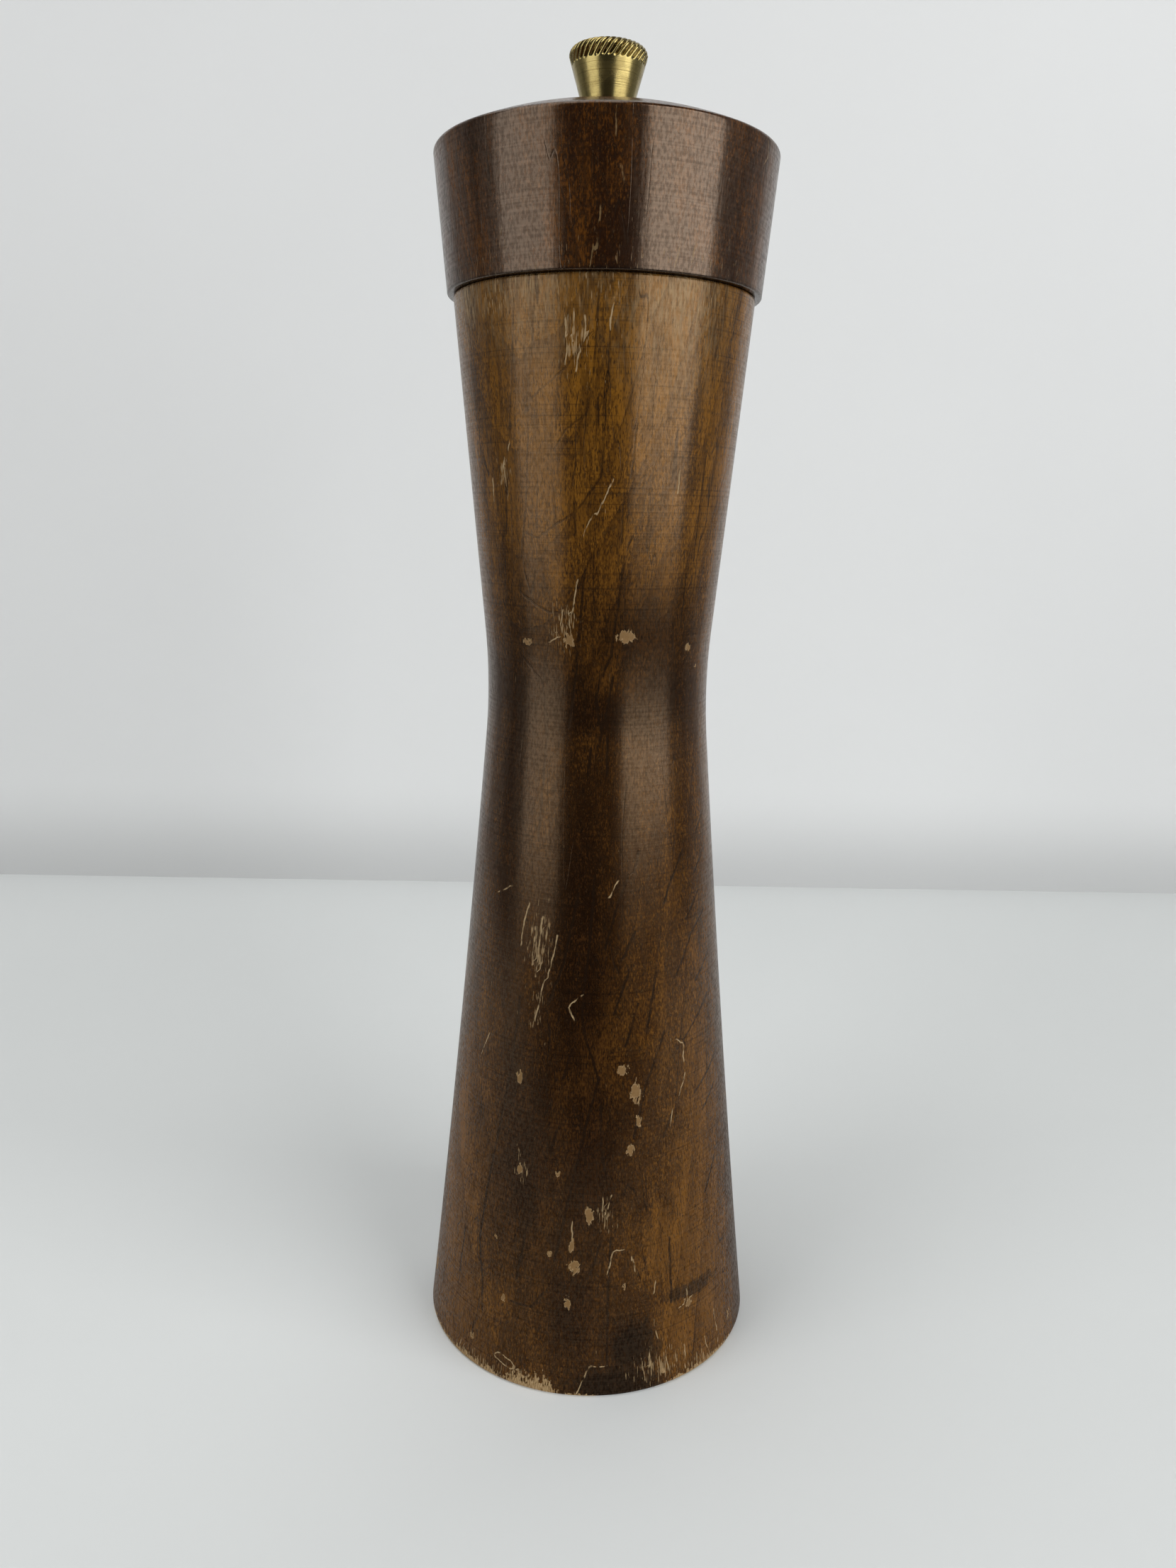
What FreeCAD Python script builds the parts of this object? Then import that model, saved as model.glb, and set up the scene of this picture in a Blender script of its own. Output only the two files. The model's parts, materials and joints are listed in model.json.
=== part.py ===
"""Hourglass wooden pepper mill with a brass grind knob, as an assembly of separate pieces.

The mill stands on z = 0 with its turning axis on +Z. All sizes are in millimetres.
The head turns the square shaft through its drive plate, and the shaft turns the rotor in the fixed stator.
The knob draws the shaft up against a spring, which closes the grinding gap.
"""

import FreeCAD, Part
import math
import os

from FreeCAD import Vector

# Turned outside of the body
BASE_RADIUS = 31.8
BASE_EDGE_RADIUS = 0.6
BODY_HEIGHT = 192.8
BODY_TOP_RADIUS = 25.8
BODY_TOP_EDGE_RADIUS = 0.5
WAIST_HEIGHT = 127.0
WAIST_CORNER_RADIUS = 19.6
WAIST_BLEND_RADIUS = 110.0
LOWER_FLANK_SLOPE = 0.084

# Bores of the body, from the mouth down to the base
SOCKET_RADIUS = 18.0
SOCKET_DEPTH = 20.0
HOPPER_RADIUS = 13.5
HOPPER_FUNNEL_HEIGHT = 4.5
BASE_RECESS_RADIUS = 23.0
BASE_RECESS_DEPTH = 9.0

# Turned head
HEAD_FLANK_HEIGHT = 22.2
HEAD_BOTTOM_RADIUS = 26.8
HEAD_RIM_RADIUS = 28.9
HEAD_EDGE_RADIUS = 0.7
HEAD_DOME_RISE = 6.2
HEAD_SEAT_RADIUS = 6.2
TENON_LENGTH = 13.0
TENON_CHAMFER = 0.8

# Knob and the washer under it
KNOB_FOOT_RADIUS = 3.95
KNOB_SHOULDER_RADIUS = 6.5
KNOB_TOP_RADIUS = 5.55
KNOB_CONE_HEIGHT = 8.65
KNOB_SHOULDER_HEIGHT = 1.2
KNOB_DOME_RISE = 0.35
KNOB_BORE_CLEARANCE = 0.8
KNURL_COUNT = 36
KNURL_SKIRT_HEIGHT = 1.7
KNURL_DEPTH = 0.4
KNURL_LEAN_DEG = 37.0
KNOB_WASHER_RADIUS = 5.4
KNOB_WASHER_THICKNESS = 0.8

# Shaft: square bar with a threaded round at each end
SHAFT_SIDE = 5.0
TOP_THREAD_RADIUS = 2.5
TOP_THREAD_ENGAGEMENT = 7.6
TOP_THREAD_LENGTH = 14.0
END_THREAD_RADIUS = 2.0
END_THREAD_OVERHANG = 0.5

# Drive plate under the head
DRIVE_PLATE_RADIUS = 15.0
DRIVE_PLATE_THICKNESS = 1.5
DRIVE_SCREW_COUNT = 2
DRIVE_SCREW_CIRCLE_RADIUS = 10.5

# Grinding pair
STATOR_RADIUS = 17.0
STATOR_HEIGHT = 16.0
STATOR_MOUTH_RADIUS = 14.2
STATOR_COARSE_TEETH = 10
STATOR_FINE_TEETH = 40
ROTOR_HEIGHT = 13.0
ROTOR_OVERHANG = 0.5
ROTOR_BASE_RADIUS = 13.2
ROTOR_THROAT_RADIUS = 11.0
ROTOR_TOP_RADIUS = 7.8
ROTOR_COARSE_TEETH = 8
ROTOR_FINE_TEETH = 36
FINE_ZONE_HEIGHT = 5.0
GRIND_GAP = 0.45
COARSE_TOOTH_DEPTH = 1.1
FINE_TOOTH_DEPTH = 0.55
TOOTH_LEAN_DEG = 24.0
SPRING_POCKET_RADIUS = 5.3
SPRING_POCKET_DEPTH = 8.0

# Pieces on the shaft
SPRING_MEAN_RADIUS = 4.25
SPRING_WIRE_RADIUS = 0.45
SPRING_TURNS = 5
SPRING_WASHER_RADIUS = 6.0
SPRING_WASHER_THICKNESS = 0.8
ROTOR_WASHER_RADIUS = 6.0
ROTOR_WASHER_THICKNESS = 1.0
LOCK_WASHER_RADIUS = 3.6
LOCK_WASHER_THICKNESS = 0.9
LOCK_WASHER_SLIT = 0.8
NUT_ACROSS_FLATS = 7.0
NUT_HEIGHT = 3.0
STOP_COLLAR_RADIUS = 6.8
STOP_COLLAR_HEIGHT = 5.0
STOP_PIN_RADIUS = 1.0

# Bridge over the stator, and its bush
BRIDGE_WIDTH = 11.5
BRIDGE_THICKNESS = 1.5
BUSH_SLEEVE_RADIUS = 4.9
BUSH_FLANGE_RADIUS = 6.4
BUSH_FLANGE_THICKNESS = 1.0

# Retaining ring in the base recess
BASE_RING_BORE_RADIUS = 14.4
BASE_RING_THICKNESS = 1.2
BASE_SCREW_COUNT = 3
BASE_SCREW_CIRCLE_RADIUS = 20.2

# Wood screws, all of one size
SCREW_HEAD_RADIUS = 2.5
SCREW_HEAD_HEIGHT = 1.5
SCREW_SHANK_RADIUS = 1.3
SCREW_SHANK_LENGTH = 10.0
SCREW_TIP_LENGTH = 2.2
SCREW_SLOT_WIDTH = 0.8
SCREW_SLOT_DEPTH = 0.7

# Travel of the shaft, and the clearances that all the fits use
COARSE_TRAVEL = 1.0
FINE_TRAVEL = 0.2
STOP_GAP = 0.1
RUNNING_GAP = 0.06
FIXED_GAP = 0.03
FACE_GAP = 0.05
TENON_GAP = 0.25
SHAFT_HOLE_GAP = 0.3

# Levels that follow from the sizes above
STATOR_BOTTOM = BASE_RECESS_DEPTH
STATOR_TOP = STATOR_BOTTOM + STATOR_HEIGHT
BRIDGE_TOP = STATOR_TOP + BRIDGE_THICKNESS
FINE_ZONE_TOP = STATOR_BOTTOM - ROTOR_OVERHANG + FINE_ZONE_HEIGHT
ROTOR_BOTTOM = STATOR_BOTTOM - ROTOR_OVERHANG
ROTOR_TOP = ROTOR_BOTTOM + ROTOR_HEIGHT
SPRING_SEAT = ROTOR_TOP - SPRING_POCKET_DEPTH
SPRING_WASHER_BOTTOM = STATOR_TOP - FACE_GAP - SPRING_WASHER_THICKNESS
LOCK_WASHER_BOTTOM = ROTOR_BOTTOM - ROTOR_WASHER_THICKNESS - LOCK_WASHER_THICKNESS
NUT_BOTTOM = LOCK_WASHER_BOTTOM - NUT_HEIGHT
SHAFT_BOTTOM = NUT_BOTTOM - END_THREAD_OVERHANG
COLLAR_BOTTOM = BRIDGE_TOP + BUSH_FLANGE_THICKNESS + COARSE_TRAVEL + STOP_GAP
TENON_BOTTOM = BODY_HEIGHT - TENON_LENGTH
DRIVE_PLATE_BOTTOM = TENON_BOTTOM - DRIVE_PLATE_THICKNESS
HEAD_RIM_LEVEL = BODY_HEIGHT + HEAD_FLANK_HEIGHT
DOME_RADIUS = (HEAD_RIM_RADIUS**2 + HEAD_DOME_RISE**2) / (2 * HEAD_DOME_RISE)
HEAD_SEAT = HEAD_RIM_LEVEL + HEAD_DOME_RISE - DOME_RADIUS + math.sqrt(DOME_RADIUS**2 - HEAD_SEAT_RADIUS**2)
KNOB_BOTTOM = HEAD_SEAT + KNOB_WASHER_THICKNESS
SHAFT_TOP = KNOB_BOTTOM + TOP_THREAD_ENGAGEMENT
TOP_THREAD_BOTTOM = SHAFT_TOP - TOP_THREAD_LENGTH
SHAFT_CORNER_RADIUS = SHAFT_SIDE / math.sqrt(2)
SHAFT_HOLE_RADIUS = SHAFT_CORNER_RADIUS + SHAFT_HOLE_GAP

ORIGIN = Vector(0, 0, 0)
UP = Vector(0, 0, 1)


def at(radius, level):
    """A point of a turned outline, at a radius from the axis and a level above the base."""
    return Vector(radius, 0, level)


def turned(start, *steps):
    """Solid turned about +Z from an outline of lines, given by their end, and arcs, as (through, end)."""
    edges = []
    here = start
    for step in steps + (start,):
        through, end = step if isinstance(step, tuple) else (None, step)
        curve = Part.Arc(here, through, end) if through else Part.LineSegment(here, end)
        edges.append(curve.toShape())
        here = end
    return Part.Face(Part.Wire(edges)).revolve(ORIGIN, UP, 360)


def cylinder(radius, bottom, top):
    return Part.makeCylinder(radius, top - bottom, Vector(0, 0, bottom))


def ring(outer, inner, bottom, top):
    return cylinder(outer, bottom, top).cut(cylinder(inner, bottom, top))


def square_bar(side, bottom, top):
    return Part.makeBox(side, side, top - bottom, Vector(-side / 2, -side / 2, bottom))


def around(shape, count, first_deg=0.0):
    """Copies of a shape spaced evenly about the mill's axis."""
    copies = []
    for index in range(count):
        copy = shape.copy()
        copy.rotate(ORIGIN, UP, first_deg + index * 360.0 / count)
        copies.append(copy)
    return copies


def rounded_corner(before, corner, after, radius):
    """Start, middle and end of the arc that rounds a corner of an outline."""
    back = (before - corner).normalize()
    ahead = (after - corner).normalize()
    half_angle = back.getAngle(ahead) / 2
    reach = radius / math.tan(half_angle)
    bisector = (back + ahead).normalize()
    middle = corner + bisector * (radius / math.sin(half_angle) - radius)
    return corner + back * reach, middle, corner + ahead * reach


def tangent_arc_middle(start, direction, end):
    """Middle of the arc that leaves start along a direction and arrives at end."""
    chord = end - start
    angle = chord.getAngle(direction)
    aside = (direction - chord * (direction.dot(chord) / chord.dot(chord))).normalize()
    return (start + end) * 0.5 + aside * (chord.Length / 2 * math.tan(angle / 2))


def wood_screw(head_seat, circle_radius):
    """Slotted pan-head wood screw that points up, with the underside of its head on head_seat."""
    head_bottom = head_seat - SCREW_HEAD_HEIGHT
    tip = head_seat + SCREW_SHANK_LENGTH
    screw = turned(
        at(0, head_bottom),
        at(SCREW_HEAD_RADIUS * 0.75, head_bottom),
        at(SCREW_HEAD_RADIUS, head_bottom + SCREW_HEAD_HEIGHT / 2),
        at(SCREW_HEAD_RADIUS, head_seat),
        at(SCREW_SHANK_RADIUS, head_seat),
        at(SCREW_SHANK_RADIUS, tip - SCREW_TIP_LENGTH),
        at(0, tip),
    )
    slot_length = 4 * SCREW_HEAD_RADIUS
    slot = Part.makeBox(
        slot_length,
        SCREW_SLOT_WIDTH,
        SCREW_SLOT_DEPTH,
        Vector(-slot_length / 2, -SCREW_SLOT_WIDTH / 2, head_bottom),
    )
    screw = screw.cut(slot)
    screw.translate(Vector(circle_radius, 0, 0))
    return screw


def screw_hole(head_seat, circle_radius):
    """Pilot hole that a wood screw fills, from the underside of its head to past its tip."""
    radius = SCREW_SHANK_RADIUS + FIXED_GAP
    return Part.makeCylinder(
        radius, SCREW_SHANK_LENGTH + FIXED_GAP, Vector(circle_radius, 0, head_seat)
    )


def leaning_grooves(count, low, high, depth, lean_deg, first_deg=0.0):
    """V cutters along a straight flank from low to high, leaning about the flank's own normal.

    A positive lean goes up to the right, seen from outside. depth is positive to cut a flank that faces away
    from the axis, and negative for one that faces it.
    """
    along = (high - low).normalize()
    outward = Vector(along.z, 0, -along.x)
    middle = (low + high) * 0.5
    length = (high - low).Length * 1.3 / math.cos(math.radians(lean_deg))
    crest = outward * depth * 0.6
    half_width = Vector(0, abs(depth) * 1.1, 0)
    start = middle - along * (length / 2)
    corners = [start - outward * depth, start + crest + half_width, start + crest - half_width]
    cutter = Part.Face(Part.makePolygon(corners + corners[:1])).extrude(along * length)
    cutter.rotate(middle, outward, -lean_deg)
    return around(cutter, count, first_deg)


def body():
    """Hourglass body: a straight upper flank and a slightly hollow lower one, joined at a rounded waist."""
    base = at(BASE_RADIUS, 0)
    waist = at(WAIST_CORNER_RADIUS, WAIST_HEIGHT)
    top = at(BODY_TOP_RADIUS, BODY_HEIGHT)
    lower_direction = Vector(LOWER_FLANK_SLOPE, 0, -1).normalize()
    waist_low, waist_middle, waist_high = rounded_corner(
        waist + lower_direction, waist, top, WAIST_BLEND_RADIUS
    )
    flank_middle = tangent_arc_middle(waist_low, lower_direction, base)
    base_in, base_middle, base_out = rounded_corner(at(0, 0), base, flank_middle, BASE_EDGE_RADIUS)
    top_low, top_middle, top_in = rounded_corner(waist, top, at(0, BODY_HEIGHT), BODY_TOP_EDGE_RADIUS)
    flank_middle = tangent_arc_middle(waist_low, lower_direction, base_out)
    socket_floor = BODY_HEIGHT - SOCKET_DEPTH
    seat_radius = STATOR_RADIUS + FIXED_GAP
    wood = turned(
        at(BASE_RECESS_RADIUS, 0),
        base_in,
        (base_middle, base_out),
        (flank_middle, waist_low),
        (waist_middle, waist_high),
        top_low,
        (top_middle, top_in),
        at(SOCKET_RADIUS, BODY_HEIGHT),
        at(SOCKET_RADIUS, socket_floor),
        at(HOPPER_RADIUS, socket_floor - HOPPER_FUNNEL_HEIGHT),
        at(HOPPER_RADIUS, BRIDGE_TOP),
        at(seat_radius, BRIDGE_TOP),
        at(seat_radius, BASE_RECESS_DEPTH),
        at(BASE_RECESS_RADIUS, BASE_RECESS_DEPTH),
    )
    ring_seat = BASE_RECESS_DEPTH - BASE_RING_THICKNESS
    return wood.cut(around(screw_hole(ring_seat, BASE_SCREW_CIRCLE_RADIUS), BASE_SCREW_COUNT))


def head():
    """Flaring head with a shallow dome, a seat for the knob washer and a tenon for the body's socket."""
    rim = at(HEAD_RIM_RADIUS, HEAD_RIM_LEVEL)
    bottom = at(HEAD_BOTTOM_RADIUS, BODY_HEIGHT)
    seat_edge = at(HEAD_SEAT_RADIUS, HEAD_SEAT)
    dome_centre_level = HEAD_RIM_LEVEL + HEAD_DOME_RISE - DOME_RADIUS
    half_angle = math.asin(HEAD_RIM_RADIUS / DOME_RADIUS)
    dome_tangent = Vector(-math.cos(half_angle), 0, math.sin(half_angle))
    rim_low, rim_middle, rim_in = rounded_corner(bottom, rim, rim + dome_tangent, HEAD_EDGE_RADIUS)
    middle_angle = (half_angle + math.asin(HEAD_SEAT_RADIUS / DOME_RADIUS)) / 2
    middle_level = dome_centre_level + DOME_RADIUS * math.cos(middle_angle)
    dome_middle = at(DOME_RADIUS * math.sin(middle_angle), middle_level)
    bottom_in, bottom_middle, bottom_high = rounded_corner(at(0, BODY_HEIGHT), bottom, rim, HEAD_EDGE_RADIUS)
    tenon_radius = SOCKET_RADIUS - TENON_GAP
    wood = turned(
        at(SHAFT_HOLE_RADIUS, TENON_BOTTOM),
        at(tenon_radius - TENON_CHAMFER, TENON_BOTTOM),
        at(tenon_radius, TENON_BOTTOM + TENON_CHAMFER),
        at(tenon_radius, BODY_HEIGHT),
        bottom_in,
        (bottom_middle, bottom_high),
        rim_low,
        (rim_middle, rim_in),
        (dome_middle, seat_edge),
        at(SHAFT_HOLE_RADIUS, HEAD_SEAT),
    )
    return wood.cut(around(screw_hole(DRIVE_PLATE_BOTTOM, DRIVE_SCREW_CIRCLE_RADIUS), DRIVE_SCREW_COUNT))


def knob():
    """Inverted cone with a rope-knurled rim, a low dome on top and a blind hole for the shaft's thread."""
    shoulder = KNOB_BOTTOM + KNOB_CONE_HEIGHT
    crown = shoulder + KNOB_SHOULDER_HEIGHT
    low = at(KNOB_SHOULDER_RADIUS, shoulder)
    high = at(KNOB_TOP_RADIUS, crown)
    bulge = tangent_arc_middle(low, UP, high)
    bore_radius = TOP_THREAD_RADIUS + RUNNING_GAP
    bore_top = SHAFT_TOP + FINE_TRAVEL + KNOB_BORE_CLEARANCE
    dome_radius = (KNOB_TOP_RADIUS**2 + KNOB_DOME_RISE**2) / (2 * KNOB_DOME_RISE)
    dome_middle_radius = KNOB_TOP_RADIUS / 2
    dome_drop = dome_radius - math.sqrt(dome_radius**2 - dome_middle_radius**2)
    brass = turned(
        at(bore_radius, KNOB_BOTTOM),
        at(KNOB_FOOT_RADIUS, KNOB_BOTTOM),
        low,
        (bulge, high),
        (at(dome_middle_radius, crown + KNOB_DOME_RISE - dome_drop), at(0, crown + KNOB_DOME_RISE)),
        at(0, bore_top),
        at(bore_radius, bore_top),
    )
    skirt = low + (at(KNOB_FOOT_RADIUS, KNOB_BOTTOM) - low) * (KNURL_SKIRT_HEIGHT / KNOB_CONE_HEIGHT)
    between = ((low - skirt).Length + (high - low).Length) / 2
    step_deg = math.degrees(between * math.tan(math.radians(KNURL_LEAN_DEG)) / KNOB_SHOULDER_RADIUS)
    on_cone = leaning_grooves(KNURL_COUNT, skirt, low, KNURL_DEPTH, KNURL_LEAN_DEG)
    on_shoulder = leaning_grooves(KNURL_COUNT, low, high, KNURL_DEPTH, KNURL_LEAN_DEG, step_deg)
    return brass.cut(on_cone + on_shoulder)


def knob_washer():
    return ring(KNOB_WASHER_RADIUS, TOP_THREAD_RADIUS + RUNNING_GAP, HEAD_SEAT, KNOB_BOTTOM)


def drive_plate():
    """Steel disc under the tenon whose square hole turns the shaft."""
    plate = cylinder(DRIVE_PLATE_RADIUS, DRIVE_PLATE_BOTTOM, TENON_BOTTOM)
    hole = square_bar(SHAFT_SIDE + 2 * RUNNING_GAP, DRIVE_PLATE_BOTTOM, TENON_BOTTOM)
    screws = around(screw_hole(DRIVE_PLATE_BOTTOM, DRIVE_SCREW_CIRCLE_RADIUS), DRIVE_SCREW_COUNT)
    return plate.cut([hole] + screws)


def drive_plate_screws():
    return around(wood_screw(DRIVE_PLATE_BOTTOM, DRIVE_SCREW_CIRCLE_RADIUS), DRIVE_SCREW_COUNT)


def shaft():
    """Square bar with a round thread at each end, for knob and rotor nut, and a cross hole for the pin."""
    square = square_bar(SHAFT_SIDE, ROTOR_BOTTOM + FIXED_GAP, TOP_THREAD_BOTTOM)
    knob_thread = cylinder(TOP_THREAD_RADIUS, TOP_THREAD_BOTTOM, SHAFT_TOP)
    nut_thread = cylinder(END_THREAD_RADIUS, SHAFT_BOTTOM, ROTOR_BOTTOM + FIXED_GAP)
    bar = square.fuse([knob_thread, nut_thread])
    return bar.cut(cross_pin(STOP_PIN_RADIUS + FIXED_GAP, SHAFT_SIDE))


def cross_pin(radius, length):
    """Cylinder across the shaft at the middle of the stop collar."""
    level = COLLAR_BOTTOM + STOP_COLLAR_HEIGHT / 2
    return Part.makeCylinder(radius, length, Vector(-length / 2, 0, level), Vector(1, 0, 0))


def stop_collar():
    """Collar pinned to the shaft, which meets the bush at the coarsest grind."""
    collar_top = COLLAR_BOTTOM + STOP_COLLAR_HEIGHT
    collar = cylinder(STOP_COLLAR_RADIUS, COLLAR_BOTTOM, collar_top)
    hole = square_bar(SHAFT_SIDE + 2 * FIXED_GAP, COLLAR_BOTTOM, collar_top)
    return collar.cut([hole, cross_pin(STOP_PIN_RADIUS + FIXED_GAP, 4 * STOP_COLLAR_RADIUS)])


def stop_pin():
    return cross_pin(STOP_PIN_RADIUS, 2 * STOP_COLLAR_RADIUS)


def bridge():
    """Flat bar clamped between the stator and the body's shoulder, with a hole for the bush."""
    disc = cylinder(STATOR_RADIUS, STATOR_TOP, BRIDGE_TOP)
    bar = Part.makeBox(
        2 * STATOR_RADIUS,
        BRIDGE_WIDTH,
        BRIDGE_THICKNESS,
        Vector(-STATOR_RADIUS, -BRIDGE_WIDTH / 2, STATOR_TOP),
    )
    return disc.common(bar).cut(cylinder(BUSH_SLEEVE_RADIUS + FIXED_GAP, STATOR_TOP, BRIDGE_TOP))


def bridge_bush():
    """Flanged bush in the bridge, in which the corners of the square shaft turn."""
    bore_radius = SHAFT_CORNER_RADIUS + RUNNING_GAP
    flange_top = BRIDGE_TOP + BUSH_FLANGE_THICKNESS
    return turned(
        at(bore_radius, STATOR_TOP),
        at(BUSH_SLEEVE_RADIUS, STATOR_TOP),
        at(BUSH_SLEEVE_RADIUS, BRIDGE_TOP),
        at(BUSH_FLANGE_RADIUS, BRIDGE_TOP),
        at(BUSH_FLANGE_RADIUS, flange_top),
        at(bore_radius, flange_top),
    )


def spring_washer():
    top = SPRING_WASHER_BOTTOM + SPRING_WASHER_THICKNESS
    return ring(SPRING_WASHER_RADIUS, SHAFT_HOLE_RADIUS, SPRING_WASHER_BOTTOM, top)


def spring():
    """Compression spring from the rotor's pocket to the spring washer, one wire along a helix of biarcs."""
    low = SPRING_SEAT + SPRING_WIRE_RADIUS + FACE_GAP
    high = SPRING_WASHER_BOTTOM - SPRING_WIRE_RADIUS - FACE_GAP
    steps = 4 * SPRING_TURNS
    rise_per_radian = (high - low) / (2 * math.pi * SPRING_TURNS)

    def helix(index):
        angle = index * math.pi / 2
        x, y = SPRING_MEAN_RADIUS * math.cos(angle), SPRING_MEAN_RADIUS * math.sin(angle)
        return Vector(x, y, low + rise_per_radian * angle), Vector(-y, x, rise_per_radian).normalize()

    edges = []
    for index in range(steps):
        edges += biarc(*helix(index), *helix(index + 1))
    path = Part.Wire(edges)
    start, ahead = helix(0)
    section = Part.Wire(Part.makeCircle(SPRING_WIRE_RADIUS, start, ahead))
    wire_gap = 2 * math.pi * rise_per_radian - 2 * SPRING_WIRE_RADIUS
    print(f"spring: least gap between turns {wire_gap:.2f} mm, wire length {path.Length:.1f} mm")
    return path.makePipeShell([section], True, False)


def biarc(start, start_way, end, end_way):
    """Two arcs from start to end that meet smoothly and keep both end directions."""
    chord = end - start
    ways = start_way + end_way
    a = 2 * (1 - start_way.dot(end_way))
    b = 2 * chord.dot(ways)
    reach = (-b + math.sqrt(b * b + 4 * a * chord.dot(chord))) / (2 * a)
    first = start + start_way * reach
    second = end - end_way * reach
    joint = (first + second) * 0.5
    return [tangent_arc(start, first, joint), tangent_arc(joint, second, end)]


def tangent_arc(start, corner, end):
    """Arc that touches start-corner and corner-end, two equal tangents."""
    middle = (start + end) * 0.5
    half_chord = (end - start).Length / 2
    angle = (corner - start).getAngle(end - start)
    through = middle + (corner - middle).normalize() * (half_chord * math.tan(angle / 2))
    return Part.Arc(start, through, end).toShape()


def rotor():
    """Male burr: fine teeth on the lower flank, coarse feed teeth above, square hole and spring pocket."""
    base = at(ROTOR_BASE_RADIUS, ROTOR_BOTTOM)
    throat = at(ROTOR_THROAT_RADIUS, FINE_ZONE_TOP)
    top = at(ROTOR_TOP_RADIUS, ROTOR_TOP)
    burr = turned(
        at(0, ROTOR_BOTTOM),
        base,
        throat,
        top,
        at(SPRING_POCKET_RADIUS, ROTOR_TOP),
        at(SPRING_POCKET_RADIUS, SPRING_SEAT),
        at(0, SPRING_SEAT),
    )
    fine = leaning_grooves(ROTOR_FINE_TEETH, base, throat, FINE_TOOTH_DEPTH, -TOOTH_LEAN_DEG)
    coarse = leaning_grooves(ROTOR_COARSE_TEETH, throat, top, COARSE_TOOTH_DEPTH, -TOOTH_LEAN_DEG)
    hole = square_bar(SHAFT_SIDE + 2 * FIXED_GAP, ROTOR_BOTTOM, SPRING_SEAT)
    return burr.cut([hole] + fine + coarse)


def stator():
    """Female burr: a ring whose fine flank keeps the grinding gap to the rotor, under a toothed funnel."""
    fine_slope = (ROTOR_BASE_RADIUS - ROTOR_THROAT_RADIUS) / FINE_ZONE_HEIGHT
    throat_radius = ROTOR_THROAT_RADIUS + GRIND_GAP
    outlet = at(throat_radius + fine_slope * (FINE_ZONE_TOP - STATOR_BOTTOM), STATOR_BOTTOM)
    throat = at(throat_radius, FINE_ZONE_TOP)
    mouth = at(STATOR_MOUTH_RADIUS, STATOR_TOP)
    burr = turned(outlet, at(STATOR_RADIUS, STATOR_BOTTOM), at(STATOR_RADIUS, STATOR_TOP), mouth, throat)
    fine = leaning_grooves(STATOR_FINE_TEETH, outlet, throat, -FINE_TOOTH_DEPTH, TOOTH_LEAN_DEG)
    coarse = leaning_grooves(STATOR_COARSE_TEETH, throat, mouth, -COARSE_TOOTH_DEPTH, TOOTH_LEAN_DEG)
    return burr.cut(fine + coarse)


def rotor_washer():
    bottom = ROTOR_BOTTOM - ROTOR_WASHER_THICKNESS
    return ring(ROTOR_WASHER_RADIUS, END_THREAD_RADIUS + FIXED_GAP, bottom, ROTOR_BOTTOM)


def rotor_lock_washer():
    """Split spring washer between the nut and the plain washer."""
    top = LOCK_WASHER_BOTTOM + LOCK_WASHER_THICKNESS
    washer = ring(LOCK_WASHER_RADIUS, END_THREAD_RADIUS + FIXED_GAP, LOCK_WASHER_BOTTOM, top)
    slit = Part.makeBox(
        LOCK_WASHER_RADIUS,
        LOCK_WASHER_SLIT,
        LOCK_WASHER_THICKNESS,
        Vector(0, -LOCK_WASHER_SLIT / 2, LOCK_WASHER_BOTTOM),
    )
    return washer.cut(slit)


def rotor_nut():
    """Hexagon nut on the shaft's lower thread, with its corners turned off."""
    corner_radius = NUT_ACROSS_FLATS / math.sqrt(3)
    angles = [index * math.pi / 3 for index in range(6)]
    corners = [Vector(corner_radius * math.cos(a), corner_radius * math.sin(a), NUT_BOTTOM) for a in angles]
    hexagon = Part.Face(Part.makePolygon(corners + corners[:1])).extrude(UP * NUT_HEIGHT)
    chamfer = corner_radius - NUT_ACROSS_FLATS / 2
    blank = turned(
        at(0, NUT_BOTTOM),
        at(NUT_ACROSS_FLATS / 2, NUT_BOTTOM),
        at(corner_radius, NUT_BOTTOM + chamfer),
        at(corner_radius, NUT_BOTTOM + NUT_HEIGHT),
        at(0, NUT_BOTTOM + NUT_HEIGHT),
    )
    thread = cylinder(END_THREAD_RADIUS + FIXED_GAP, NUT_BOTTOM, NUT_BOTTOM + NUT_HEIGHT)
    return hexagon.common(blank).cut(thread)


def base_ring():
    """Flat ring screwed into the base recess, which holds the stator in from below."""
    bottom = BASE_RECESS_DEPTH - BASE_RING_THICKNESS
    plate = ring(BASE_RECESS_RADIUS - FIXED_GAP, BASE_RING_BORE_RADIUS, bottom, BASE_RECESS_DEPTH)
    return plate.cut(around(screw_hole(bottom, BASE_SCREW_CIRCLE_RADIUS), BASE_SCREW_COUNT))


def base_ring_screws():
    screw = wood_screw(BASE_RECESS_DEPTH - BASE_RING_THICKNESS, BASE_SCREW_CIRCLE_RADIUS)
    return around(screw, BASE_SCREW_COUNT)


NODES = (
    body,
    head,
    knob,
    knob_washer,
    drive_plate,
    drive_plate_screws,
    shaft,
    stop_collar,
    stop_pin,
    bridge,
    bridge_bush,
    spring_washer,
    spring,
    rotor,
    rotor_washer,
    rotor_lock_washer,
    rotor_nut,
    stator,
    base_ring,
    base_ring_screws,
)


def main():
    os.makedirs("parts", exist_ok=True)
    for node in NODES:
        made = node()
        shape = Part.makeCompound(made) if isinstance(made, list) else made
        if not shape.isValid() or len(shape.Solids) < 1:
            raise ValueError(f"{node.__name__} is not a valid solid")
        shape.exportStep(f"parts/{node.__name__}.step")
        print(f"{node.__name__}: {len(shape.Solids)} solid(s), {shape.Volume / 1000:.3f} cm3")


main()
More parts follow.
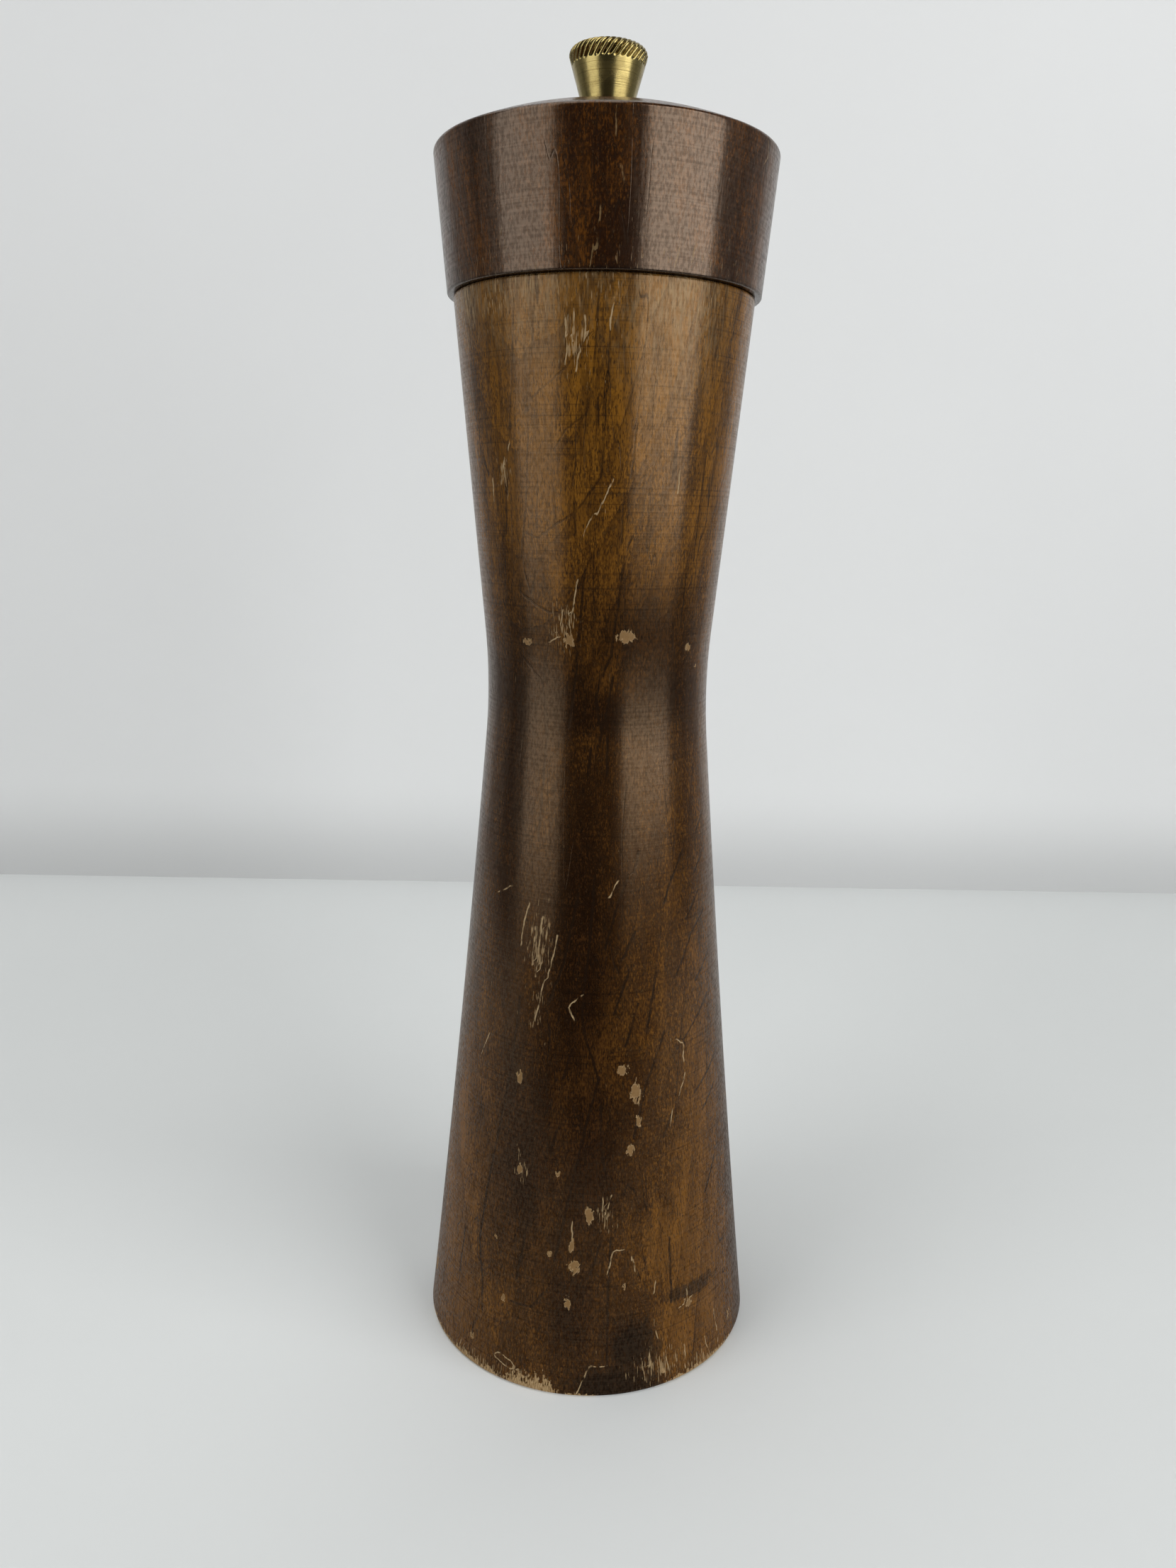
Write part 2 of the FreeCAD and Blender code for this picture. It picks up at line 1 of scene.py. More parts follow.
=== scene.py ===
"""Looks of the hourglass pepper mill: worn stained wood, aged brass and plain steel on a pale table.

Outlines are written in millimetres, as (radius, level) points of turned shapes, and become metres in the
mesh. Angles around the mill run from its front, which faces the camera, towards its right hand.
"""

import json
import math

import bpy
import numpy as np
from mathutils import Matrix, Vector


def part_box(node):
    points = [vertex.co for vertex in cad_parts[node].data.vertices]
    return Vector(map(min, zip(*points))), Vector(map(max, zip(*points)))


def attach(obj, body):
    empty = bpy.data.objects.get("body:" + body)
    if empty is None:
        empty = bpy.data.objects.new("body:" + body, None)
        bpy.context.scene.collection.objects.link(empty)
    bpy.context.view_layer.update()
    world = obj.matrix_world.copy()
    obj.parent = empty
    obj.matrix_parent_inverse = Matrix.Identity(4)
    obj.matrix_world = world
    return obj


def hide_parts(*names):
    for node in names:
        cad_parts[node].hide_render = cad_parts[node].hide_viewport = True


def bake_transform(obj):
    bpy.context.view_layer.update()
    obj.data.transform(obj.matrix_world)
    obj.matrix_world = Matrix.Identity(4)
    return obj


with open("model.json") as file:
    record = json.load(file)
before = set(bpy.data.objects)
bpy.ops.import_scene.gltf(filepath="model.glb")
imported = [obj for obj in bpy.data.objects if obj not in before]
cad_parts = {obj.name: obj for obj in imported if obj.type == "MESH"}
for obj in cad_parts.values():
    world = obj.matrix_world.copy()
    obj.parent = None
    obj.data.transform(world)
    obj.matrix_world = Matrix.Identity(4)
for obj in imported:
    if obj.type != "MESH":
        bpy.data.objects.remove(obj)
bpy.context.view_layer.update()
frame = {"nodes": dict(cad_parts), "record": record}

MM = 0.001

# Levels and widths that the frame gives
BODY_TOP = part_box("body")[1].z / MM
HEAD_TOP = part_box("head")[1].z / MM
TENON_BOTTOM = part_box("head")[0].z / MM
KNOB_BOTTOM, KNOB_TOP = (corner.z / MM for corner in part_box("knob"))
SHAFT_BOTTOM, SHAFT_TOP = (corner.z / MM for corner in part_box("shaft"))
STATOR_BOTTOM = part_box("stator")[0].z / MM
BRIDGE_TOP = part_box("bridge")[1].z / MM
ROTOR_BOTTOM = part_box("rotor")[0].z / MM
KNOB_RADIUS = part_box("knob")[1].x / MM

# Body outline
BASE_RADIUS = 31.8
BASE_EDGE = 0.6
BODY_TOP_RADIUS = 25.8
BODY_TOP_EDGE = 0.5
WAIST_LEVEL = 127.0
WAIST_CORNER = 19.6
WAIST_BLEND = 110.0
LOWER_FLANK_SLOPE = 0.084
SOCKET_RADIUS = 18.0
SOCKET_DEPTH = 20.0
FUNNEL_HEIGHT = 4.5
HOPPER_RADIUS = 13.5
STATOR_SEAT_RADIUS = 17.03
RECESS_RADIUS = 23.0

# Head outline
HEAD_RIM_LEVEL = 215.0
HEAD_BOTTOM_RADIUS = 26.8
HEAD_RIM_RADIUS = 28.9
HEAD_RIM_EDGE = 0.7
HEAD_FOOT_EDGE = 0.3
HEAD_FOOT_WEAR = 6.0
HEAD_FOOT_SCRATCHES = 0.45
# Height of the painted shade along the head's foot, where the head meets the body
SEAM_PAINTED_SHADE_HEIGHT = 0.4
HEAD_SEAT_RADIUS = 6.2
HEAD_SEAT_DROP = 0.27
# Height over which the domed top turns lighter and warmer, a painted top light
DOME_TOP_LIGHT_HEIGHT = 2
TENON_RADIUS = 17.75
TENON_CHAMFER = 0.8
SHAFT_HOLE_RADIUS = 3.83

# Knob outline
KNOB_FOOT_RADIUS = 3.95
KNOB_CONE_HEIGHT = 8.65
KNOB_CROWN_RADIUS = 5.55
KNOB_DOME_RISE = 0.35
KNOB_BORE_RADIUS = 2.56
KNOB_BORE_DEPTH = 8.6
KNOB_BORE_MIDDLE = 0.3
KNURL_COUNT = 36
KNURL_DEPTH = 0.42
KNURL_LEAN = 0.12
KNURL_SKIRT = 1.7
KNURL_RUN_IN = 0.35
KNURL_RUN_OUT = 0.5
KNURL_OVERRUN = 0.25
KNURL_SHARPNESS = 1.3

# Shaft sections
SHAFT_SIDE = 5.0
KNOB_THREAD_RADIUS = 2.5
KNOB_THREAD_PITCH = 0.8
KNOB_THREAD_LENGTH = 14.0
NUT_THREAD_RADIUS = 2.0
NUT_THREAD_PITCH = 0.7

# Points of the meshes round the axis, and the angle from which an edge is sharp
WOOD_COLUMNS = 248
FRONT_CROWDING = 0.4
KNURL_STEPS = 12
SHAFT_COLUMNS = 96
THREAD_STEPS = 10
SHARP_ANGLE = math.radians(38)

# Bare spots on the body: angle from the front in degrees, level, half width and half height in millimetres
BARE_SPOTS = (
    (13, 137.2, 2.4, 1.5), (-14, 136.5, 1.2, 1.7), (-36, 135.8, 1.3, 0.8), (49, 135, 0.9, 0.9),
    (57, 131.5, 0.6, 0.6), (12.4, 61.4, 1.4, 1.5), (18, 57.2, 1.5, 2.8), (19, 51.7, 0.7, 1.8),
    (15.7, 46.6, 1.3, 1.4), (-30, 58.5, 0.9, 1.7), (-27, 41.5, 0.9, 1.6), (-12, 42.2, 0.7, 0.8),
    (0, 34.8, 1.1, 2.3), (-6, 29, 0.7, 2.0), (-5, 25, 1.5, 1.7), (-7, 18, 0.9, 2.0),
    (38.5, 14.2, 1.2, 0.9), (-31, 16, 1.1, 0.9), (62, 5, 0.6, 1.8), (-44, 5.5, 0.8, 1.0),
    (-14, 27, 0.6, 0.9), (-36, 27, 0.5, 0.8), (13, 21, 0.5, 0.9), (27, 3, 0.6, 0.8),
)
# Scratches through the lacquer: runs of (angle, level) points
SCRATCHES = (
    ((-14, 186), (-14, 184)), ((-11, 187), (-11, 183)), ((-7, 186), (-7, 183)), ((-13, 183), (-14, 180)),
    ((-6, 184), (-9, 181), (-10, 179)), ((3, 189), (2, 185)), ((-40, 168), (-43, 164)),
    ((-43, 166), (-46, 162)), ((-52, 162), (-52, 159)), ((4, 162), (2, 160), (-2, 157)),
    ((-3, 157), (-6, 155), (-8, 153)), ((33, 164), (33, 161)), ((-10, 146), (-12, 141)),
    ((-17, 141), (-19, 138)), ((-14, 141), (-13, 136)), ((-24, 136), (-19, 137)),
    ((-48, 91), (-41, 92.5)), ((-30, 90), (-32, 87), (-33, 83)), ((-26, 86), (-27, 80)),
    ((-23, 88), (-25, 78)), ((-20, 87), (-23, 79)), ((-16, 85), (-19, 78)), ((-21, 77), (-24, 70)),
    ((-5, 75), (-10, 73), (-8, 71)), ((10, 95), (7, 93)), ((-48, 64), (-52, 60)),
    ((38, 65), (41, 64), (41, 61)), ((41, 58), (38, 55)), ((34, 52), (33, 49)), ((5, 38), (5, 35)),
    ((8, 38), (6, 35)), ((12, 28), (9, 28), (7, 24)), ((16, 26), (17, 24)), ((25, 21), (24, 19)),
    ((35, 14), (40, 15)), ((38, 17), (38, 14)),
    ((-34, 4.2), (-31, 5.2), (-27, 4.6), (-24, 3.4), (-26, 2.9), (-30, 3.4), (-34, 4.2)),
    ((-3, 1), (1, 6), (6, 6)), ((22, 8), (22, 5)), ((24, 13), (25, 10)), ((19, 6), (20, 2.5)),
    ((46, 5), (47, 3)), ((-6, 33), (-6, 29)), ((36, 6), (36, 2)), ((28, 6), (29, 3)), ((52, 9), (53, 5)),
)
HEAD_SCRATCHES = (
    ((61, 214), (62, 212), (60, 211)), ((-76, 206), (-77, 204)), ((4, 206.5), (5, 205)),
    ((-4, 196), (-5, 193.5)), ((-2, 201), (-3, 196)), ((24, 196), (23, 194)), ((30, 198), (29, 195)),
    ((-36, 199), (-37, 197)), ((2, 214), (2, 211)),
)
# Cracks and ring edges that the stain has filled, in the same terms
CRACKS = (
    ((0, 96), (-2, 83), (-4, 75), (-4, 71), (-3, 68), (3, 60), (-1, 53), (-5, 44), (-9, 34), (-12, 26)),
    ((-32, 73), (-34, 60), (-38, 48), (-42, 36), (-44, 25), (-41, 18), (-40, 12)),
    ((15, 96), (11, 92), (5, 84)), ((20, 100), (18, 97)), ((44, 99), (36, 94), (33, 91)),
    ((61, 98), (54, 95)), ((55, 91), (46, 87)), ((59, 87), (49, 84), (38, 77)), ((63, 79), (51, 75)),
    ((18, 86), (13, 82)), ((16, 80), (9, 72)), ((28, 79), (23, 68)), ((19, 73), (14, 66)),
    ((31, 67), (23, 59)), ((59, 71), (42, 65)), ((66, 59), (47, 54)), ((61, 53), (52, 50)),
    ((-7, 93), (-13, 80), (-18, 74)), ((-8, 65), (-11, 60)), ((22, 58), (17, 49)), ((34, 52), (30, 48)),
    ((4, 56), (4, 48), (6, 42)), ((-13, 50), (-15, 46)), ((-23, 32), (-26, 21)), ((4, 29), (1, 24)),
    ((8, 30), (7, 19), (7, 6)), ((58, 39), (51, 34)), ((31, 28), (31, 16)),
    ((-27, 16), (-20, 16), (-16, 19)), ((-53, 25), (-54, 16)), ((-34, 189), (-37, 177), (-40, 169)),
    ((-25, 191), (-27, 182), (-31, 173)), ((-2, 191), (-4, 177)),
    ((2, 185), (0, 163), (-7, 159), (-12, 157), (-28, 153), (-35, 154)),
    ((-5, 184), (-14, 179), (-27, 175)), ((-7, 172), (-14, 170), (-19, 167)), ((-6, 174), (-7, 169)),
    ((16, 187), (17, 185)), ((-29, 175), (-33, 158), (-37, 150)), ((-27, 162), (-28, 155)),
    ((-41, 168), (-45, 154)), ((-11, 159), (-11, 154)), ((9, 160), (9, 153)), ((13, 172), (12, 163)),
    ((57, 191), (54, 176), (53, 169)), ((47, 167), (46, 150)), ((20, 160), (20, 152)),
    ((-7, 147), (-11, 130), (-14, 122)), ((10, 149), (6, 134), (1, 130), (-1, 127), (2, 121), (1, 119)),
    ((7, 130), (3, 122)), ((-39, 133), (-28, 129), (-25, 121), (-26, 111), (-27, 102)),
    ((-38, 144), (-30, 142), (-23, 141), (-13, 141)), ((42, 147), (42, 139)), ((37, 139), (38, 135)),
    ((-3, 118), (-4, 114)), ((5, 120), (5, 114)), ((63, 105), (56, 102)),
)
# Zones of fine scratches along the grain, in the terms of the bare spots
SCRATCHED_ZONES = (
    (-10, 182, 4.6, 8.0), (-44, 163, 3.0, 8.0), (-17, 139, 4.6, 6.5), (-24, 83, 5.0, 11.0),
    (-24, 72, 2.6, 8.0), (-26, 42, 3.0, 5.0), (-32, 194, 18.0, 14.0), (-4, 195, 12.0, 9.0),
    (30, 194, 16.0, 13.0), (-62, 192, 12.0, 14.0), (26, 4, 10.0, 7.0), (-38, 1, 18.0, 4.0),
    (46, 1, 12.0, 5.0), (6, 34, 5.0, 4.0), (130, 192, 30.0, 8.0), (215, 192, 30.0, 8.0),
)
# Worn stretches of the base rim: angle of the middle and half length in degrees, and height in millimetres
RIM_WEAR = (
    (-64, 22, 2.0), (-42, 18, 2.8), (-19, 13, 5.4), (-2, 9, 1.4), (46, 26, 1.9), (118, 30, 2.2),
    (160, 24, 3.4), (232, 40, 2.2),
)
RIM_WEAR_STRENGTH = 0.75
# Zones that handling and cooking have darkened, which also carry painted shade down the middle of the front,
# and zones where the stain is lighter
DIRT_AND_SHADE_ZONES = (
    (8, 2, 12.0, 9.0), (13, 10, 8.0, 9.0), (-6, 84, 13.0, 70.0), (-24, 44, 16.0, 46.0),
    (-1, 46, 13.0, 40.0), (-4, 16, 12.0, 20.0), (24, 137, 20.0, 14.0), (-40, 112, 9.0, 62.0),
    (-30, 128, 24.0, 14.0), (34, 128, 16.0, 15.0), (0, 124, 30.0, 9.0),
)
WARM_ZONES = (
    (50, 30, 13.0, 62.0), (-62, 30, 16.0, 66.0), (34, 9, 11.0, 11.0), (26, 27, 9.0, 12.0),
    (-46, 10, 14.0, 16.0), (14, 182, 22.0, 22.0), (180, 60, 40.0, 90.0),
)
# Spills that have soaked into the wood, with ragged edges
SPILLS = (
    (10, 1, 12.0, 6.5), (17, 9, 7.0, 7.0), (42, 16.5, 8.0, 2.4), (150, 8, 9.0, 9.0),
)
# Zones where the lacquer has worn to a pale film, which also carry a painted sheen near the top of the body
PALE_WEAR_AND_SHEEN_ZONES = (
    (-30, 196, 17.0, 18.0), (-4, 196, 10.0, 8.0), (26, 194, 15.0, 24.0), (-62, 194, 10.0, 12.0),
    (120, 196, 26.0, 14.0), (222, 196, 30.0, 16.0),
)
# Distance in millimetres that counts as far from any scratch or crack, and where the ends of a line fade
FAR = 9.0
LINE_END = (0.4, 0.75)
# Marks that carry the same wear round the sides and the back: counts, and least and greatest measures
UNSEEN_CHIPS = 30
UNSEEN_SCRATCHES = 44
UNSEEN_CRACKS = 56
UNSEEN_SEED = 7
UNSEEN_ANGLES = (78, 282)
UNSEEN_LOWEST = 3
UNSEEN_SPAN = 178
UNSEEN_CROWDING = 1.4
UNSEEN_LEAN = (-1.2, 0.3)
CHIP_HALF_WIDTH = (0.5, 1.6)
CHIP_STRETCH = (0.7, 2.0)
SCRATCH_DROP = (1.5, 6)
CRACK_DROP = (5, 24)

# Wood: lean of the pith, levels over which the stain turns amber and the lacquer glossy, sizes of marks
PITH_LEAN = 0.2
AMBER_LEVELS = (112.0, 185.0)
MATT_LEVELS = (30.0, 105.0)
WOOD_RELIEF = 0.008
CRACK_HALF_WIDTH = 0.34
CRACK_THINNING = 0.12
SCRATCH_HALF_WIDTH = 0.15
# Woods of the body and the head: growth rings, stain and gloss, then colours from stained to bare wood
BODY_WOOD = {
    "pith_back": 60.0,
    "pith_turn": math.radians(36),
    "ring_width": 4.2,
    "amber": 0.27,
    "amber_above": 0.49,
    "roughness": 0.17,
    "gloss": 0.62,
    "rubbed": 0.42,
    "fluted": 1.0,
    "lacquer": (1.0, 0.67, 0.40),
    "deep": (0.030, 0.0110, 0.0022),
    "warm": (0.172, 0.072, 0.0080),
    "warm_below": (0.138, 0.057, 0.0090),
    "streak": (0.026, 0.010, 0.0022),
    "line": (0.009, 0.0042, 0.0022),
    "fleck": (0.150, 0.082, 0.022),
    # Tint that multiplies in dirt and painted shade
    "dirt_and_shade_tint": (0.24, 0.22, 0.42),
    "spill": (0.28, 0.32, 0.60),
    # Pale colour of the worn film and of the painted sheen
    "pale_film_and_sheen": (0.22, 0.155, 0.082),
    "scratch": 0.9,
    "scored": (0.32, 0.235, 0.13),
    "bare": (0.33, 0.230, 0.118),
    "bare_dark": (0.145, 0.078, 0.027),
    "raw": (0.20, 0.11, 0.05),
    "raw_dark": (0.12, 0.06, 0.025),
}
HEAD_WOOD = {
    **BODY_WOOD,
    "pith_turn": math.radians(-40),
    "ring_width": 3.6,
    "amber": 0.38,
    "amber_above": 0.0,
    "roughness": 0.14,
    "gloss": 0.92,
    "fluted": 2.2,
    "lacquer": (1.0, 0.74, 0.54),
    "deep": (0.013, 0.0034, 0.0007),
    "warm": (0.090, 0.0310, 0.0040),
    "streak": (0.011, 0.0034, 0.0009),
    "fleck": (0.095, 0.047, 0.013),
    "bare": (0.17, 0.11, 0.045),
    "bare_dark": (0.10, 0.055, 0.02),
    "scratch": 0.5,
    "scored": (0.24, 0.16, 0.07),
}
# Brass of the knob, and metals of the fittings as a bright colour, a dull colour and a roughness
BRASS = (0.295, 0.235, 0.092)
BRASS_TARNISH = (0.21, 0.152, 0.052)
BRASS_RING = (0.12, 0.08, 0.022)
BRASS_DIRT = (0.085, 0.056, 0.018)
PLAIN_BRASS = ((0.62, 0.46, 0.20), (0.40, 0.28, 0.11), 0.30)
BURR_STEEL = ((0.26, 0.26, 0.27), (0.13, 0.12, 0.11), 0.34)
FITTING_STEEL = ((0.58, 0.58, 0.59), (0.36, 0.34, 0.31), 0.28)
METAL_RELIEF = 0.02

# Camera of the photograph, with the image taken as 1659 by 2212 pixels
IMAGE_HEIGHT = 2212
FOCAL_PIXELS = 1662.0
SENSOR = 36.0
CAMERA_PLACE = (-1.42 * MM, -216.09 * MM, 157.07 * MM)
CAMERA_TILT_DOWN = math.radians(12.93)
CAMERA_ROLL = math.radians(0.94)
CLIP_START = 0.01

# Stage and lights
WALL_DISTANCE = 274 * MM
# Height over which the painted shade at the wall's foot fades out
WALL_SHADE_HEIGHT = 45 * MM
TABLE_FRONT = -150 * MM
STAGE_HALF_WIDTH = 360 * MM
WALL_HEIGHT = 1400 * MM
FLOOR_COLOUR = (0.69, 0.71, 0.705)
WALL_COLOUR = (0.70, 0.71, 0.71)
ROOM_LIGHT = 0.06
BACKGROUND_LIGHT = 0.72
GLOSS_SHARE = 0.4
TABLE_OPENING = 31.4 * MM
BACKGROUND_COLOUR = (0.98, 1.0, 1.0)
BACKGROUND_EDGE = 0.35
CLOUD_SHADE = 0.96
# Share of the wall colour at the wall's foot, a painted shade where the wall meets the table
WALL_FOOT_SHADE = 0.72
SHEET_COLUMNS = 9
# Upright soft boxes: degrees from the front, distance, low edge, high edge and width in metres, brightness
SOFT_BOXES = {
    "left_window": (-54, 0.70, -0.02, 0.94, 0.49, 2.2),
    "left_curtain": (-81, 0.72, -0.02, 0.94, 0.24, 0.28),
    "right_window": (51, 0.70, 0.03, 0.94, 0.66, 3.7),
    "right_curtain": (86, 0.72, 0.03, 0.94, 0.25, 0.28),
}
# Level soft boxes: place and side in metres, and brightness
LEVEL_BOXES = {
    "overhead": ((-0.45, -0.1, 1.3), 1.2, 1.66),
    "under_table": ((0, 0, -0.25), 0.28, 2.0),
}


class Wire:
    """One output of a node in a finish. Arithmetic on it adds Math nodes to that finish."""

    def __init__(self, finish, socket):
        self.finish = finish
        self.socket = socket

    def __add__(self, other):
        return self.finish.math("ADD", self, other)

    __radd__ = __add__

    def __sub__(self, other):
        return self.finish.math("SUBTRACT", self, other)

    def __rsub__(self, other):
        return self.finish.math("SUBTRACT", other, self)

    def __mul__(self, other):
        return self.finish.math("MULTIPLY", self, other)

    __rmul__ = __mul__

    def __truediv__(self, other):
        return self.finish.math("DIVIDE", self, other)

    def rise(self, low, high):
        """0 below low, 1 above high and a smooth step between them."""
        return self.finish.node(
            "ShaderNodeMapRange",
            {"interpolation_type": "SMOOTHSTEP"},
            {"Value": self, "From Min": low, "From Max": high},
        )


class Finish:
    """A material under construction, with one method for every kind of node."""

    def __init__(self, name):
        self.material = bpy.data.materials.new(name)
        self.material.use_nodes = True
        self.tree = self.material.node_tree
        self.shader = self.tree.nodes["Principled BSDF"]
        self.place = self.node("ShaderNodeTexCoord", {}, {}, "Object")

    def node(self, kind, settings, sockets, output=0):
        node = self.tree.nodes.new(kind)
        for name, value in settings.items():
            setattr(node, name, value)
        for name, value in sockets.items():
            self.put(node.inputs[name], value)
        return Wire(self, node.outputs[output])

    def put(self, socket, value):
        if isinstance(value, Wire):
            self.tree.links.new(value.socket, socket)
        elif socket.type == "RGBA":
            socket.default_value = (*value, 1.0)
        else:
            socket.default_value = value

    def math(self, operation, *values):
        return self.node("ShaderNodeMath", {"operation": operation}, dict(enumerate(values)))

    def mix(self, share, first, second, blend="MIX"):
        """Colour that goes from first to second, or to a blend of both, as share goes from 0 to 1."""
        settings = {"data_type": "RGBA", "blend_type": blend}
        return self.node("ShaderNodeMix", settings, {0: share, 6: first, 7: second}, 2)

    def noise(self, across, along, detail=2.0, shift=0.0):
        """Noise whose blobs are about `across` mm wide and `along` mm high on the mill."""
        level_scale = 1 / (across * MM) if across else 0.0
        scale = (level_scale, level_scale, 1 / (along * MM))
        sockets = {"Vector": self.place, "Location": (shift, shift, shift), "Scale": scale}
        space = self.node("ShaderNodeMapping", {}, sockets)
        return self.node("ShaderNodeTexNoise", {}, {"Vector": space, "Scale": 1.0, "Detail": detail})

    def attribute(self, name):
        return self.node("ShaderNodeAttribute", {"attribute_name": name}, {}, "Fac")

    def line(self, name, half_width, waver):
        """1 on the lines whose distances the piece holds under this name, and 0 a half width away."""
        across = self.math("ABSOLUTE", self.attribute(name + "_across") + waver)
        on_line = 1 - across.rise(0.4 * half_width, half_width)
        return on_line * (1 - self.attribute(name + "_near").rise(*LINE_END))

    def relief(self, height, depth):
        """Surface normal of a relief that is `depth` mm deep."""
        sockets = {"Height": height, "Strength": 1.0, "Distance": depth * MM}
        return self.node("ShaderNodeBump", {}, sockets, "Normal")

    def coordinates(self):
        """Object coordinates x, y and z, in metres."""
        return [self.node("ShaderNodeSeparateXYZ", {}, {0: self.place}, output) for output in range(3)]

    def surface(self, sockets, share=None, other=None):
        """Material with these sockets, in which another shader may take over a share of the surface."""
        for name, value in sockets.items():
            self.put(self.shader.inputs[name], value)
        if other is not None:
            main = Wire(self, self.shader.outputs[0])
            both = self.node("ShaderNodeMixShader", {}, {0: share, 1: main, 2: other})
            self.tree.links.new(both.socket, self.tree.nodes["Material Output"].inputs["Surface"])
        return self.material


class Room(Finish):
    """The world under construction, with the nodes of a finish. Its place is the direction of a ray."""

    def __init__(self, name):
        self.material = bpy.data.worlds.new(name)
        self.material.use_nodes = True
        self.tree = self.material.node_tree
        self.shader = self.tree.nodes["Background"]
        self.place = self.node("ShaderNodeTexCoord", {}, {}, "Object")


def straight(start, end, count):
    """Points spaced evenly on a line from start to end."""
    return np.linspace(start, end, count)


def arc(start, way, end, count):
    """Points on the arc that leaves start along way and arrives at end.

    The arc turns by twice the angle between way and the chord, so its radius is half the chord over that
    angle's sine.
    """
    start, end = np.asarray(start, float), np.asarray(end, float)
    way = np.asarray(way, float) / np.hypot(*way)
    chord = end - start
    across = chord - way * (chord @ way)
    across /= np.hypot(*across)
    angle = math.atan2(chord @ across, chord @ way)
    radius = np.hypot(*chord) / 2 / math.sin(angle)
    turned = np.linspace(0, 2 * angle, count)[:, None]
    return start + radius * (np.sin(turned) * way + (1 - np.cos(turned)) * across)


def rounded(before, corner, after, radius, count):
    """Points on the arc of a given radius that rounds a corner of an outline."""
    before, corner, after = (np.asarray(point, float) for point in (before, corner, after))
    back = (before - corner) / np.hypot(*(before - corner))
    ahead = (after - corner) / np.hypot(*(after - corner))
    reach = radius / math.tan(math.acos(np.clip(back @ ahead, -1, 1)) / 2)
    return arc(corner + back * reach, -back, corner + ahead * reach, count)


def joined(*runs):
    """One outline from runs given as (points, inside), without the points that two runs share.

    The second result is 1 on the points of unfinished inner faces and 0 elsewhere.
    """
    points = np.vstack([run for run, _ in runs])
    inside = np.concatenate([np.full(len(run), float(inner)) for run, inner in runs])
    fresh = np.hypot(*(points - np.roll(points, 1, axis=0)).T) > 1e-6
    return points[fresh], inside[fresh]


def angles_around(count, crowding=0.0):
    """Angles once round the mill from its front, closer together there: t - crowding * sin(t)."""
    t = np.linspace(-math.pi, math.pi, count, endpoint=False)
    return t - crowding * np.sin(t)


def surface_piece(name, radius, level, angle, body, ends_on_axis=False, **attributes):
    """Piece whose point in row i and column j has radius[i, j], level[i, j] and angle[j] about the axis.

    The place is (r sin a, -r cos a, z). Columns close round the axis. Rows close on themselves, or end in
    one point each on the axis. Attributes are arrays of the same grid.
    """
    rows, columns = radius.shape
    place = np.stack([radius * np.sin(angle), -radius * np.cos(angle), level], axis=-1) * MM
    index = np.arange(rows * columns).reshape(rows, columns)
    beside = np.roll(index, -1, axis=1)
    above, above_beside = np.roll(index, -1, axis=0), np.roll(beside, -1, axis=0)
    quads = np.stack([index, beside, above_beside, above], axis=-1)
    vertices = place.reshape(-1, 3)
    faces = quads.reshape(-1, 4).tolist()
    if ends_on_axis:
        poles = np.array([[0, 0, level[0, 0] * MM], [0, 0, level[-1, 0] * MM]])
        vertices = np.vstack([vertices, poles])
        first, last = rows * columns, rows * columns + 1
        faces = quads[:-1].reshape(-1, 4).tolist()
        faces += np.stack([beside[0], index[0], np.full(columns, first)], axis=-1).tolist()
        faces += np.stack([index[-1], beside[-1], np.full(columns, last)], axis=-1).tolist()
    mesh = bpy.data.meshes.new(name)
    mesh.from_pydata(vertices, [], faces)
    for label, values in attributes.items():
        field = np.zeros(len(vertices))
        field[: rows * columns] = np.broadcast_to(values, radius.shape).ravel()
        mesh.attributes.new(label, "FLOAT", "POINT").data.foreach_set("value", field)
    mesh.shade_smooth()
    mesh.set_sharp_from_angle(angle=SHARP_ANGLE)
    piece = bpy.data.objects.new(name, mesh)
    bpy.context.scene.collection.objects.link(piece)
    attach(piece, body)
    return piece


def angle_from(turn, angle):
    """Angles measured from a turn in degrees, from half a turn back to half a turn ahead."""
    return (angle - math.radians(turn) + math.pi) % (2 * math.pi) - math.pi


def marks(spots, angle, level, radius):
    """Field that is 1 in the middle of each oval mark, 0 at its edge and below 0 outside all of them."""
    field = np.full(level.shape, -1.0)
    for turn, height, half_width, half_height in spots:
        away = np.abs(angle_from(turn, angle))
        distance = np.hypot(away * radius / half_width, (level - height) / half_height)
        field = np.maximum(field, 1 - distance)
    return field


def nearest_line(lines, angle, level, radius):
    """Signed distance across the nearest of some lines, and the distance from that line, in millimetres.

    Each stretch of a line is straight on the unrolled surface. The first distance is the cross product with
    the stretch's direction, which passes evenly through 0 on the line. The second is measured to the nearest
    point of the stretch.
    """
    across, near = np.full(level.shape, FAR), np.full(level.shape, FAR)
    stretches = [pair for line in lines for pair in zip(line, line[1:])]
    for (turn, height), (end_turn, end_height) in stretches:
        aside = angle_from(turn, angle) * radius
        up = level - height
        run, rise = math.radians(end_turn - turn) * radius, end_height - height
        length = np.hypot(run, rise)
        share = np.clip((aside * run + up * rise) / length**2, 0, 1)
        distance = np.hypot(aside - share * run, up - share * rise)
        across = np.where(distance < near, (aside * rise - up * run) / length, across)
        near = np.minimum(near, distance)
    return across, near


def rim_wear(angle, level):
    """Wear that is strongest on the base rim and fades upwards and towards the ends of each stretch."""
    field = np.full(level.shape, -1.0)
    for turn, half_length, height in RIM_WEAR:
        away = np.abs(angle_from(turn, angle))
        along = np.clip(2 - 2 * away / math.radians(half_length), 0, 1)
        field = np.maximum(field, RIM_WEAR_STRENGTH * along - level / height)
    return field


